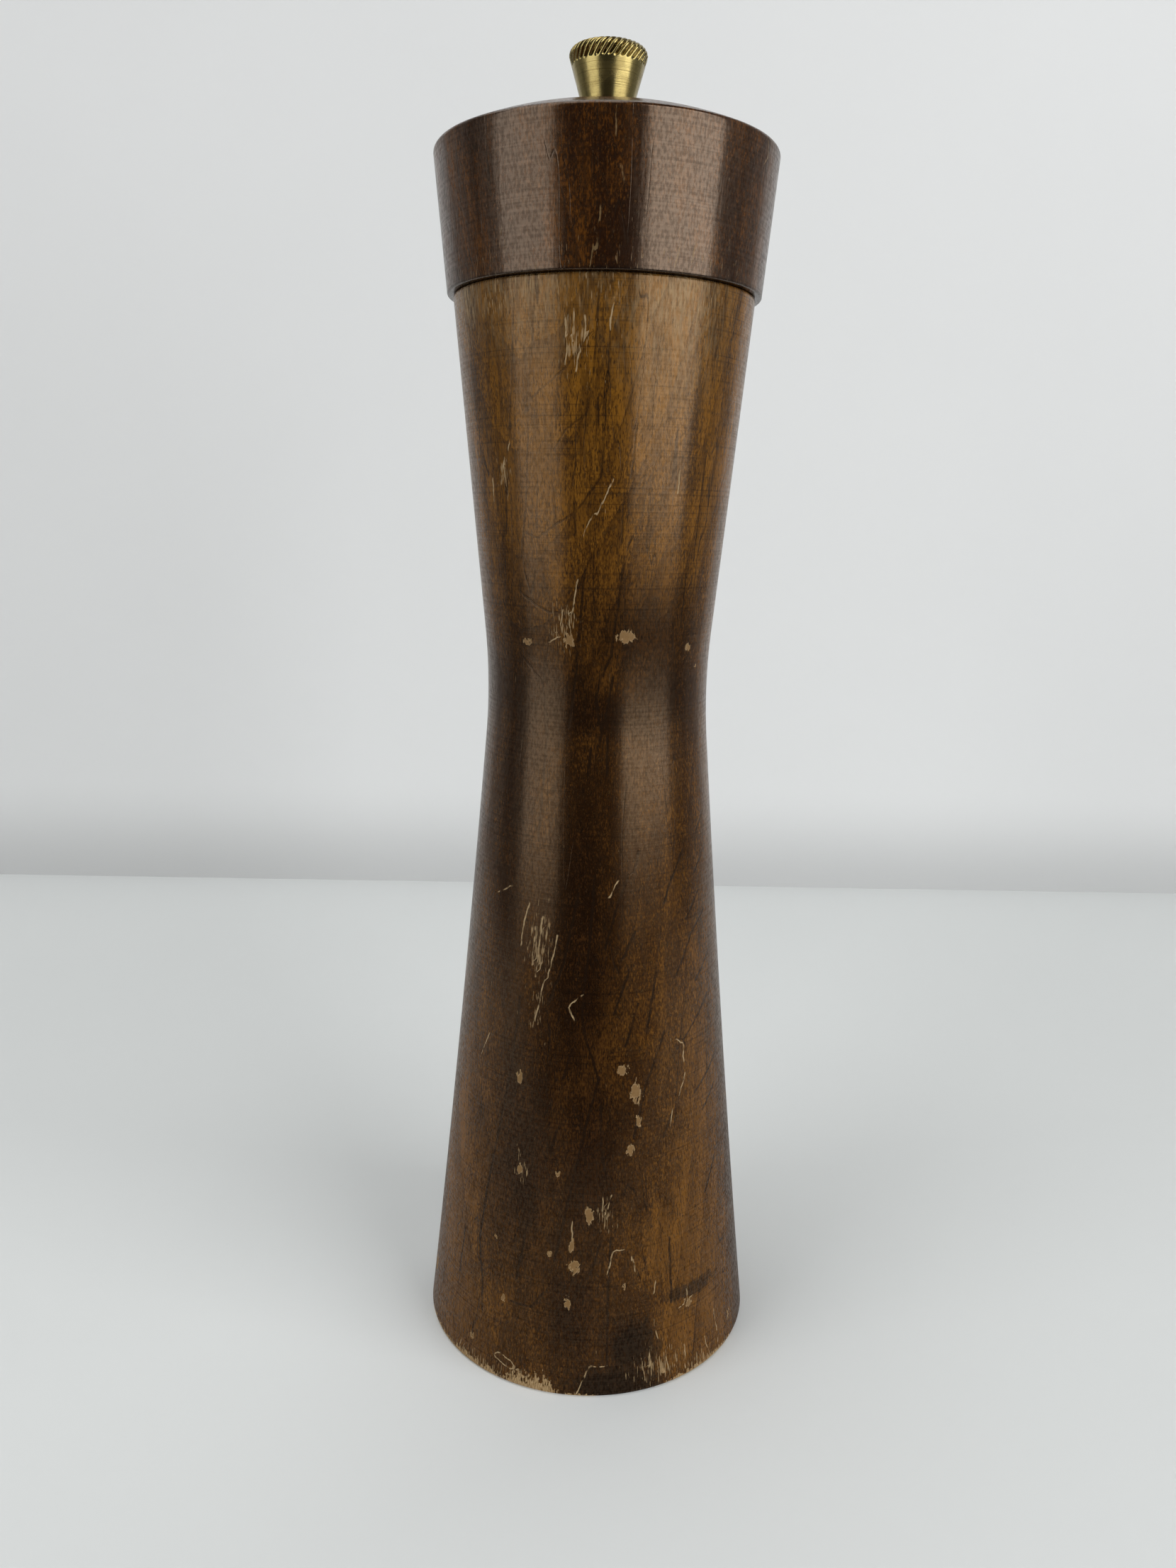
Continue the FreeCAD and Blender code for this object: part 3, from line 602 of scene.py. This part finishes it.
def unseen_wear():
    """Ovals, scratches and cracks at random on the sides and back, more often low on the mill than high."""
    chance = np.random.default_rng(UNSEEN_SEED)

    def places(count):
        turn = chance.uniform(*UNSEEN_ANGLES, count)
        return turn, UNSEEN_SPAN * chance.uniform(0, 1, count) ** UNSEEN_CROWDING + UNSEEN_LOWEST

    def lines(count, drops):
        turn, height = places(count)
        drop = chance.uniform(*drops, count)
        lean = chance.uniform(*UNSEEN_LEAN, count) * drop
        ends = np.stack([turn, height, turn + lean, np.maximum(height - drop, 1)], axis=-1)
        return tuple(map(tuple, ends.reshape(-1, 2, 2)))

    turn, height = places(UNSEEN_CHIPS)
    half_width = chance.uniform(*CHIP_HALF_WIDTH, UNSEEN_CHIPS)
    half_height = half_width * chance.uniform(*CHIP_STRETCH, UNSEEN_CHIPS)
    chips = np.stack([turn, height, half_width, half_height], axis=-1)
    return chips, lines(UNSEEN_SCRATCHES, SCRATCH_DROP), lines(UNSEEN_CRACKS, CRACK_DROP)


def body_piece():
    """Hollow body: lower flank, waist and upper flank are two arcs and a line turned about the axis."""
    waist = np.array([WAIST_CORNER, WAIST_LEVEL])
    top = np.array([BODY_TOP_RADIUS, BODY_TOP])
    down = np.array([LOWER_FLANK_SLOPE, -1]) / math.hypot(LOWER_FLANK_SLOPE, 1)
    waist_arc = rounded(waist + down, waist, top, WAIST_BLEND, 30)
    flank = arc(waist_arc[0], down, (BASE_RADIUS, 0), 3)
    base_edge = rounded((0, 0), (BASE_RADIUS, 0), flank[1], BASE_EDGE, 7)
    flank = arc(waist_arc[0], down, base_edge[-1], 190)[::-1]
    top_edge = rounded(waist, top, (0, BODY_TOP), BODY_TOP_EDGE, 6)
    socket_floor = BODY_TOP - SOCKET_DEPTH
    funnel_low = socket_floor - FUNNEL_HEIGHT
    outline, inside = joined(
        (straight((RECESS_RADIUS, 0), base_edge[0], 8), 0),
        (base_edge, 0),
        (flank, 0),
        (waist_arc, 0),
        (straight(waist_arc[-1], top_edge[0], 95), 0),
        (top_edge, 0),
        (straight(top_edge[-1], (SOCKET_RADIUS, BODY_TOP), 6), 1),
        (straight((SOCKET_RADIUS, BODY_TOP), (SOCKET_RADIUS, socket_floor), 8), 1),
        (straight((SOCKET_RADIUS, socket_floor), (HOPPER_RADIUS, funnel_low), 4), 1),
        (straight((HOPPER_RADIUS, funnel_low), (HOPPER_RADIUS, BRIDGE_TOP), 16), 1),
        (straight((HOPPER_RADIUS, BRIDGE_TOP), (STATOR_SEAT_RADIUS, BRIDGE_TOP), 3), 1),
        (straight((STATOR_SEAT_RADIUS, BRIDGE_TOP), (STATOR_SEAT_RADIUS, STATOR_BOTTOM), 4), 1),
        (straight((STATOR_SEAT_RADIUS, STATOR_BOTTOM), (RECESS_RADIUS, STATOR_BOTTOM), 3), 1),
        (straight((RECESS_RADIUS, STATOR_BOTTOM), (RECESS_RADIUS, 0), 4), 1),
    )
    angle = angles_around(WOOD_COLUMNS, FRONT_CROWDING)
    radius, level = (np.repeat(column[:, None], len(angle), axis=1) for column in outline.T)
    outer = inside[:, None] < 0.5
    more_chips, more_scratches, more_cracks = unseen_wear()
    chips = marks(np.vstack([BARE_SPOTS, more_chips]), angle, level, radius)
    scratch_across, scratch_near = nearest_line(SCRATCHES + more_scratches, angle, level, radius)
    crack_across, crack_near = nearest_line(CRACKS + more_cracks, angle, level, radius)
    wear = {
        "bare": np.where(outer, np.maximum(chips, rim_wear(angle, level)), -1.0),
        "scratched": outer * np.clip(marks(SCRATCHED_ZONES, angle, level, radius), 0, 1),
        # Dirt, and painted shade down the middle of the front
        "dirt_and_painted_shade": outer * np.clip(marks(DIRT_AND_SHADE_ZONES, angle, level, radius), 0, 1),
        "warm_zones_and_top_light": outer * np.clip(marks(WARM_ZONES, angle, level, radius), 0, 1),
        "spilled": np.where(outer, marks(SPILLS, angle, level, radius), -1.0),
        # Pale worn film, and painted sheen near the top of the body
        "pale_wear_and_sheen": outer * np.clip(marks(PALE_WEAR_AND_SHEEN_ZONES, angle, level, radius), 0, 1),
        "scratch_across": scratch_across,
        "scratch_near": np.where(outer, scratch_near, FAR),
        "crack_across": crack_across,
        "crack_near": np.where(outer, crack_near, FAR),
        "inside": inside[:, None],
    }
    return surface_piece("mill_body", radius, level, angle, "body", **wear)


def head_piece():
    """Head: flaring flank, domed top, hole for the shaft and tenon, turned about the axis."""
    rim = np.array([HEAD_RIM_RADIUS, HEAD_RIM_LEVEL])
    bottom = np.array([HEAD_BOTTOM_RADIUS, BODY_TOP])
    seat = np.array([HEAD_SEAT_RADIUS, HEAD_TOP])
    dome_rise = HEAD_TOP - HEAD_RIM_LEVEL + HEAD_SEAT_DROP
    dome_radius = (HEAD_RIM_RADIUS**2 + dome_rise**2) / (2 * dome_rise)
    rim_angle = math.asin(HEAD_RIM_RADIUS / dome_radius)
    dome_way = np.array([-math.cos(rim_angle), math.sin(rim_angle)])
    rim_edge = rounded(bottom, rim, rim + dome_way, HEAD_RIM_EDGE, 8)
    low_edge = rounded((0, BODY_TOP), bottom, rim, HEAD_FOOT_EDGE, 8)
    tenon_foot = (TENON_RADIUS - TENON_CHAMFER, TENON_BOTTOM)
    tenon_side = (TENON_RADIUS, TENON_BOTTOM + TENON_CHAMFER)
    outline, inside = joined(
        (straight((SHAFT_HOLE_RADIUS, TENON_BOTTOM), tenon_foot, 6), 1),
        (straight(tenon_foot, tenon_side, 3), 1),
        (straight(tenon_side, (TENON_RADIUS, BODY_TOP), 8), 1),
        (straight((TENON_RADIUS, BODY_TOP), low_edge[0], 5), 0),
        (low_edge, 0),
        (straight(low_edge[-1], rim_edge[0], 44), 0),
        (rim_edge, 0),
        (arc(rim_edge[-1], dome_way, seat, 48), 0),
        (straight(seat, (SHAFT_HOLE_RADIUS, HEAD_TOP), 4), 0),
        (straight((SHAFT_HOLE_RADIUS, HEAD_TOP), (SHAFT_HOLE_RADIUS, TENON_BOTTOM), 14), 1),
    )
    angle = angles_around(WOOD_COLUMNS)
    radius, level = (np.repeat(column[:, None], len(angle), axis=1) for column in outline.T)
    outer = inside[:, None] < 0.5
    scratch_across, scratch_near = nearest_line(HEAD_SCRATCHES, angle, level, radius)
    wear = {
        "bare": np.full(level.shape, -1.0),
        "scratched": HEAD_FOOT_SCRATCHES * np.exp(-(((level - BODY_TOP) / HEAD_FOOT_WEAR) ** 2)) * outer,
        # Painted shade along the head's foot, standing in for the shadow under its overhang
        "dirt_and_painted_shade": np.exp(-(((level - BODY_TOP) / SEAM_PAINTED_SHADE_HEIGHT) ** 2)) * outer,
        # Painted top light: the dome turns lighter and warmer above the rim
        "warm_zones_and_top_light": np.clip((level - HEAD_RIM_LEVEL) / DOME_TOP_LIGHT_HEIGHT, 0, 1) * outer,
        "spilled": np.full(level.shape, -1.0),
        "pale_wear_and_sheen": np.zeros(level.shape),
        "scratch_across": scratch_across,
        "scratch_near": np.where(outer, scratch_near, FAR),
        "crack_across": np.full(level.shape, FAR),
        "crack_near": np.full(level.shape, FAR),
        "inside": inside[:, None],
    }
    return surface_piece("mill_head", radius, level, angle, "head", **wear)


def knob_piece():
    """Knob: a cone and a rounded shoulder cut by leaning grooves, with a low dome and a blind hole.

    In the shoulder the radius drops by the depth times a power of 1 - |sin(pi * phase)|, where phase counts
    grooves round the knob and leans with the distance along the outline.
    """
    shoulder_level = KNOB_BOTTOM + KNOB_CONE_HEIGHT
    crown_level = KNOB_TOP - KNOB_DOME_RISE
    bore_top = KNOB_BOTTOM + KNOB_BORE_DEPTH
    shoulder = arc((KNOB_RADIUS, shoulder_level), (0, 1), (KNOB_CROWN_RADIUS, crown_level), 24)
    crown = arc((0, KNOB_TOP), (1, 0), (KNOB_CROWN_RADIUS, crown_level), 12)[::-1]
    outline, _ = joined(
        (straight((KNOB_BORE_MIDDLE, bore_top), (KNOB_BORE_RADIUS, bore_top), 4), 0),
        (straight((KNOB_BORE_RADIUS, bore_top), (KNOB_BORE_RADIUS, KNOB_BOTTOM), 6), 0),
        (straight((KNOB_BORE_RADIUS, KNOB_BOTTOM), (KNOB_FOOT_RADIUS, KNOB_BOTTOM), 4), 0),
        (straight((KNOB_FOOT_RADIUS, KNOB_BOTTOM), (KNOB_RADIUS, shoulder_level), 72), 0),
        (shoulder, 0),
        (crown[:-1], 0),
    )
    angle = angles_around(KNURL_COUNT * KNURL_STEPS)
    radius, level = (np.repeat(column[:, None], len(angle), axis=1) for column in outline.T)
    along = np.concatenate([[0], np.cumsum(np.hypot(*np.diff(outline, axis=0).T))])[:, None]
    widest = along[np.argmax(outline[:, 0])]
    start = widest - KNURL_SKIRT
    end = along[np.argmin(np.abs(outline[:, 1] - crown_level))]
    run_in = np.clip((along - start) / KNURL_RUN_IN, 0, 1)
    run_out = np.clip((end + KNURL_OVERRUN - along) / KNURL_RUN_OUT, 0, 1)
    cut = run_in * run_out
    phase = KNURL_COUNT * (angle - KNURL_LEAN * (along - start)) / (2 * math.pi)
    groove = (1 - np.abs(np.sin(math.pi * phase))) ** KNURL_SHARPNESS
    radius = radius - KNURL_DEPTH * cut * groove
    return surface_piece("knob_brass", radius, level, angle, "knob", ends_on_axis=True, groove=cut * groove)


def shaft_piece():
    """Shaft: a square section, half side over the larger of |sin| and |cos|, between two threads.

    A thread's radius is its full radius less a triangle wave of level / pitch - angle / full turn.
    """
    angle = angles_around(SHAFT_COLUMNS)
    square_bottom = ROTOR_BOTTOM
    square_top = SHAFT_TOP - KNOB_THREAD_LENGTH
    square = SHAFT_SIDE / 2 / np.maximum(np.abs(np.sin(angle)), np.abs(np.cos(angle)))

    def thread(low, high, full_radius, pitch):
        level = np.linspace(low, high, int((high - low) / pitch * THREAD_STEPS))[:, None]
        wave = np.abs((level / pitch - angle / (2 * math.pi)) % 1 * 2 - 1)
        end = np.clip(np.minimum(level - low, high - level) / (0.5 * pitch), 0, 1)
        return full_radius - 0.5 * pitch * wave * end, level

    def bar(low, high, count):
        return np.repeat(square[None, :], count, axis=0), np.linspace(low, high, count)[:, None]

    low_thread = thread(SHAFT_BOTTOM, square_bottom, NUT_THREAD_RADIUS, NUT_THREAD_PITCH)
    top_thread = thread(square_top, SHAFT_TOP, KNOB_THREAD_RADIUS, KNOB_THREAD_PITCH)
    middle = bar(square_bottom, square_top, 40)
    radius = np.vstack([run[0] for run in (low_thread, middle, top_thread)])
    level = np.vstack([run[1] for run in (low_thread, middle, top_thread)])
    level = np.repeat(level, len(angle), axis=1)
    return surface_piece("shaft_bar", radius, level, angle, "shaft", ends_on_axis=True)


def wood_finish(name, wood):
    """Stained wood under lacquer, worn through in places.

    Growth rings are cylinders about a pith that lies behind the mill and leans away from it, so the flanks
    cut them into long arches at the front and into upright lines at the sides. Each ring darkens and ends in
    a thin line. Pores are short dashes along the grain, checks are long thin cracks where a noise passes its
    middle value, and faint rings across the grain are the lathe's marks.
    """
    finish = Finish(name)
    axes = [axis / MM for axis in finish.coordinates()]
    back = wood["pith_back"] + PITH_LEAN * axes[2]
    aside = axes[0] - math.sin(wood["pith_turn"]) * back
    behind = axes[1] - math.cos(wood["pith_turn"]) * back
    distance = finish.math("SQRT", aside * aside + behind * behind)
    wander = finish.noise(20, 80) - 0.5
    ripple = finish.noise(2.2, 9, detail=3, shift=3.1) - 0.5
    ring = distance / wood["ring_width"] + wander * 2.2 + ripple * 0.22
    share = finish.math("FRACT", ring)
    count = finish.math("FLOOR", ring)
    chosen = finish.node("ShaderNodeTexWhiteNoise", {"noise_dimensions": "1D"}, {"W": count})
    patchy = finish.noise(9, 30, detail=2, shift=8.4).rise(0.38, 0.6)
    ring_line = share.rise(0.90, 0.985) * patchy * (chosen * 0.75 + 0.25)
    late_wood = share.rise(0.25, 1.0)

    tone = finish.noise(15, 42, detail=2, shift=5.0)
    board = finish.noise(3.4, 70, detail=2, shift=2.9)
    cloud = finish.noise(3, 6, detail=3, shift=0.6)
    streak = finish.noise(0.8, 18, detail=4, shift=1.7)
    grain = finish.noise(0.32, 0.7, detail=3, shift=3.7)
    pores = finish.noise(0.15, 1.3, detail=1, shift=2.3)
    lathe = finish.noise(None, 0.42, detail=2)
    turned = lathe.rise(0.48, 0.66) * finish.noise(9, 7, detail=2, shift=1.1).rise(0.40, 0.60)
    waver = 0.5 * (finish.noise(0.9, 2.2, detail=2, shift=5.5) - 0.5)
    broken = finish.noise(0.8, 1.8, detail=2, shift=6.8)
    middle = finish.math("ABSOLUTE", finish.noise(3.2, 260, detail=1, shift=7.3) - 0.5)
    check = (1 - middle.rise(0.0, 0.010)) * finish.noise(4, 20, detail=2, shift=4.6).rise(0.48, 0.56)
    above = axes[2].rise(*AMBER_LEVELS)
    crack = finish.line("crack", CRACK_HALF_WIDTH - CRACK_THINNING * above, waver)
    crack = crack * (0.7 + 0.3 * broken.rise(0.38, 0.58)) * (1 - 0.4 * above)
    dark_line = finish.math("MAXIMUM", finish.math("MAXIMUM", ring_line * 0.7, check), crack)

    # Warmer stain above the waist and in the warm zones, and a painted top light on the head's dome
    amber_and_top_light = wood["amber_above"] * above + 0.5 * finish.attribute("warm_zones_and_top_light").rise(0.0, 0.8)
    amber = (
        wood["amber"]
        + amber_and_top_light
        + 1.2 * (tone - 0.5)
        + (0.5 + 0.9 * above) * (board - 0.5)
        + 1.0 * (cloud - 0.5)
        + 2.5 * (grain - 0.5)
    )
    warm = finish.mix(above, wood["warm_below"], wood["warm"])
    colour = finish.mix(amber.rise(0.0, 1.0), wood["deep"], warm)
    colour = finish.mix(late_wood * 0.35, colour, wood["deep"])
    colour = finish.mix(streak.rise(0.44, 0.66) * (0.35 + 0.22 * above), colour, wood["streak"])
    colour = finish.mix(turned * 0.45, colour, wood["line"])
    colour = finish.mix(pores.rise(0.54, 0.66) * 0.75, colour, wood["line"])
    colour = finish.mix((1 - grain).rise(0.6, 0.72) * 0.35, colour, wood["fleck"])
    # Pale worn film and painted sheen lighten the colour in patches
    pale_wear_and_sheen_patches = finish.noise(0.5, 2.6, detail=3, shift=4.1).rise(0.42, 0.66)
    pale_film_and_sheen = finish.attribute("pale_wear_and_sheen") * (0.25 + 1.1 * pale_wear_and_sheen_patches)
    colour = finish.mix(pale_film_and_sheen * 0.65, colour, wood["pale_film_and_sheen"])
    # Dirt, and painted shade down the body's front and along the head's foot, multiply the colour darker
    colour = finish.mix(finish.attribute("dirt_and_painted_shade").rise(0.0, 0.9) * 0.9, colour, wood["dirt_and_shade_tint"], "MULTIPLY")
    ragged = finish.noise(0.45, 1.1, detail=4, shift=6.2) - 0.5
    spilled = (finish.attribute("spilled") + 1.6 * (cloud - 0.5) + 0.8 * ragged).rise(0.1, 0.5)
    colour = finish.mix(spilled * 0.9, colour, wood["spill"], "MULTIPLY")
    colour = finish.mix(dark_line * 0.9, colour, wood["line"])

    depth = finish.attribute("bare") + ragged * 1.8
    chipped = depth.rise(0.28, 0.4)
    scratch = finish.line("scratch", SCRATCH_HALF_WIDTH, waver * 1.4)
    scratch = scratch * broken.rise(0.36, 0.56) * wood["scratch"]
    hair = finish.noise(0.24, 6.0, detail=2, shift=9.9)
    scored = (hair + finish.attribute("scratched") * 0.26).rise(0.74, 0.84) * 0.6
    worn = finish.math("MAXIMUM", chipped, finish.math("MAXIMUM", scratch, scored))
    hollow = depth.rise(0.36, 0.5) * 0.85 * axes[2].rise(1.5, 5.0)
    bare_shade = chipped * finish.math("MAXIMUM", hollow, pores.rise(0.45, 0.62) * 0.8)
    bare_colour = finish.mix(bare_shade, wood["bare"], wood["bare_dark"])
    bare_colour = finish.mix(scratch * (1 - chipped), bare_colour, wood["scored"])
    colour = finish.mix(worn, colour, bare_colour)
    inside = finish.attribute("inside")
    raw_colour = finish.mix(streak.rise(0.35, 0.65), wood["raw"], wood["raw_dark"])
    colour = finish.mix(inside, colour, raw_colour)

    roughness = wood["roughness"] + 0.1 * streak + 0.35 * finish.math("MAXIMUM", worn, inside)
    height = 0.8 * lathe + 0.4 * grain + wood["fluted"] * streak - 1.2 * worn - 1.0 * dark_line
    rubbed_patches = finish.noise(0.36, 0.9, detail=3, shift=8.8).rise(0.42, 0.60)
    rubbed = 0.75 * rubbed_patches + 0.35 * lathe.rise(0.43, 0.57)
    matt = wood["rubbed"] * rubbed + (1 - axes[2].rise(*MATT_LEVELS)) * 0.6 * (1 - wood["rubbed"])
    normal = finish.relief(height, WOOD_RELIEF)
    plain = finish.node("ShaderNodeBsdfDiffuse", {}, {"Color": colour, "Normal": normal})
    return finish.surface(
        {
            "Base Color": colour,
            "Roughness": roughness,
            "Normal": normal,
            "IOR": 1.5,
            "Specular IOR Level": wood["gloss"],
            "Specular Tint": wood["lacquer"],
        },
        matt,
        plain,
    )


def brass_finish():
    """Turned brass gone dull: fine rings from the lathe, brown tarnish in patches and in the knurl."""
    finish = Finish("aged_brass")
    turning = finish.noise(None, 0.16, detail=3)
    tarnish = finish.noise(2.4, 2.4, detail=3, shift=4.0).rise(0.4, 0.7)
    groove = finish.attribute("groove")
    colour = finish.mix(tarnish * 0.45, BRASS, BRASS_TARNISH)
    colour = finish.mix(turning.rise(0.50, 0.68) * 0.6, colour, BRASS_RING)
    colour = finish.mix(groove.rise(0.45, 0.95) * 0.75, colour, BRASS_DIRT)
    return finish.surface(
        {
            "Base Color": colour,
            "Metallic": 1.0,
            "Roughness": 0.20 + 0.12 * tarnish,
            "Normal": finish.relief(turning, METAL_RELIEF),
        }
    )


def metal_finish(name, bright, dull, roughness):
    """Plain metal with fine scratches and dull, slightly brown patches."""
    finish = Finish(name)
    scratches = finish.noise(0.3, 3.0, detail=3)
    dullness = finish.noise(4, 4, detail=4, shift=2.0).rise(0.4, 0.66)
    colour = finish.mix(dullness, bright, dull)
    return finish.surface(
        {
            "Base Color": colour,
            "Metallic": 1.0,
            "Roughness": roughness + 0.2 * dullness,
            "Normal": finish.relief(scratches, METAL_RELIEF),
        }
    )


def paper_finish(name, colour, wall=False):
    """Matt pale stage with a barely visible cloudiness, clear from its back.

    A wall has a painted shade at its foot, where it meets the table. A table is open under the base, so that
    the base can be seen from below.
    """
    finish = Finish(name)
    cloud = finish.noise(120, 120, detail=2)
    shade = tuple(CLOUD_SHADE * channel for channel in colour)
    low_shade = tuple(WALL_FOOT_SHADE * channel for channel in colour)
    axes = finish.coordinates()
    tone = finish.mix(cloud, shade, colour)
    open_share = finish.node("ShaderNodeNewGeometry", {}, {}, "Backfacing")
    if wall:
        # Painted shade at the wall's foot, where it meets the table
        tone = finish.mix(axes[2].rise(0.0, WALL_SHADE_HEIGHT), low_shade, tone)
    else:
        distance = finish.math("SQRT", axes[0] * axes[0] + axes[1] * axes[1])
        open_share = finish.math("MAXIMUM", open_share, finish.math("LESS_THAN", distance, TABLE_OPENING))
    clear = finish.node("ShaderNodeBsdfTransparent", {}, {})
    return finish.surface({"Base Color": tone, "Roughness": 0.9}, open_share, clear)


def stage_piece(name, outline, finish):
    """Sheet that carries an outline of (y, z) points straight along x."""
    across = np.linspace(-STAGE_HALF_WIDTH, STAGE_HALF_WIDTH, SHEET_COLUMNS)
    rows = np.asarray(outline)
    place = np.empty((len(rows), len(across), 3))
    place[..., 0] = across
    place[..., 1:] = rows[:, None, :]
    index = np.arange(place.shape[0] * place.shape[1]).reshape(place.shape[:2])
    quads = np.stack([index[:-1, :-1], index[:-1, 1:], index[1:, 1:], index[1:, :-1]], axis=-1)
    mesh = bpy.data.meshes.new(name)
    mesh.from_pydata(place.reshape(-1, 3), [], quads.reshape(-1, 4).tolist())
    mesh.shade_smooth()
    mesh.materials.append(finish)
    sheet = bpy.data.objects.new(name, mesh)
    bpy.context.scene.collection.objects.link(sheet)


def soft_box(name, place, turn, width, height, radiance):
    """Soft box at a place, turned by angles about x, y and z, with a given brightness of its face."""
    lamp = bpy.data.lights.new(name, "AREA")
    lamp.shape = "RECTANGLE"
    lamp.size = width
    lamp.size_y = height
    lamp.energy = radiance * math.pi * width * height
    holder = bpy.data.objects.new(name, lamp)
    holder.location = place
    holder.rotation_euler = turn
    bpy.context.scene.collection.objects.link(holder)


def upright_light(name, turn_deg, distance, low, high, width, radiance):
    """Upright soft box that faces the mill, at an angle from the front."""
    turn = math.radians(turn_deg)
    place = (distance * math.sin(turn), -distance * math.cos(turn), (low + high) / 2)
    soft_box(name, place, (math.pi / 2, 0, turn), width, high - low, radiance)


def level_light(name, place, side, radiance):
    """Square soft box that lies level. It shines down from above the table, or up from below it."""
    soft_box(name, place, (math.pi if place[2] < 0 else 0, 0, 0), side, side, radiance)


def room_light():
    """Dim room whose pale background the camera sees all round, and gloss sees behind the mill."""
    room = Room("pale_room")
    camera, gloss, glass = (
        room.node("ShaderNodeLightPath", {}, {}, kind)
        for kind in ("Is Camera Ray", "Is Glossy Ray", "Is Transmission Ray")
    )
    behind = room.node("ShaderNodeSeparateXYZ", {}, {0: room.place}, 1).rise(0.0, BACKGROUND_EDGE)
    seen = room.math("MAXIMUM", camera + glass, gloss * behind * GLOSS_SHARE)
    strength = ROOM_LIGHT + (BACKGROUND_LIGHT - ROOM_LIGHT) * seen
    return room.surface({"Color": BACKGROUND_COLOUR, "Strength": strength})


def set_stage():
    """Pale table and wall, two soft boxes on each side in front, one overhead, one below and a dim room."""
    table = [(TABLE_FRONT, 0), (WALL_DISTANCE, 0)]
    wall = [(WALL_DISTANCE, 0), (WALL_DISTANCE, WALL_HEIGHT)]
    stage_piece("table", table, paper_finish("pale_table", FLOOR_COLOUR))
    stage_piece("wall", wall, paper_finish("pale_wall", WALL_COLOUR, True))
    for name, values in SOFT_BOXES.items():
        upright_light(name, *values)
    for name, values in LEVEL_BOXES.items():
        level_light(name, *values)
    bpy.context.scene.world = room_light()
    bpy.context.scene.view_settings.view_transform = "Standard"


def set_camera():
    """Camera in the photograph's place: tilted down, with a slight roll."""
    lens = bpy.data.cameras.new("camera")
    lens.sensor_width = SENSOR
    lens.lens = FOCAL_PIXELS / IMAGE_HEIGHT * SENSOR
    lens.clip_start = CLIP_START
    camera = bpy.data.objects.new("camera", lens)
    tilt = Matrix.Rotation(math.pi / 2 - CAMERA_TILT_DOWN, 4, "X")
    camera.matrix_world = Matrix.Translation(CAMERA_PLACE) @ tilt @ Matrix.Rotation(CAMERA_ROLL, 4, "Z")
    bpy.context.scene.collection.objects.link(camera)
    bpy.context.scene.camera = camera


def spring_piece():
    """The spring in its CAD form, copied from its node."""
    mesh = frame["nodes"]["spring"].data.copy()
    mesh.materials.clear()
    spring = bpy.data.objects.new("spring_wire", mesh)
    bpy.context.scene.collection.objects.link(spring)
    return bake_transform(spring)


def dress(piece, node, material):
    """The piece stands for a CAD node and takes a material."""
    piece.data.materials.append(material)
    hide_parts(node)


def dress_fittings():
    """Materials for the CAD pieces that stay as they are, and the steel for the shaft and the spring."""
    brass = metal_finish("plain_brass", *PLAIN_BRASS)
    burr = metal_finish("burr_steel", *BURR_STEEL)
    steel = metal_finish("fitting_steel", *FITTING_STEEL)
    by_slot = {"knob_brass": brass, "bush_brass": brass, "burr_steel": burr, "fitting_steel": steel}
    for row in frame["record"]["subparts"]:
        node = frame["nodes"][row["node"]]
        if row["material_slot"] in by_slot:
            for holder in node.material_slots:
                holder.material = by_slot[row["material_slot"]]
    return steel


steel = dress_fittings()
dress(body_piece(), "body", wood_finish("worn_body_wood", BODY_WOOD))
dress(head_piece(), "head", wood_finish("head_wood", HEAD_WOOD))
dress(knob_piece(), "knob", brass_finish())
dress(shaft_piece(), "shaft", steel)
dress(spring_piece(), "spring", steel)
set_stage()
set_camera()
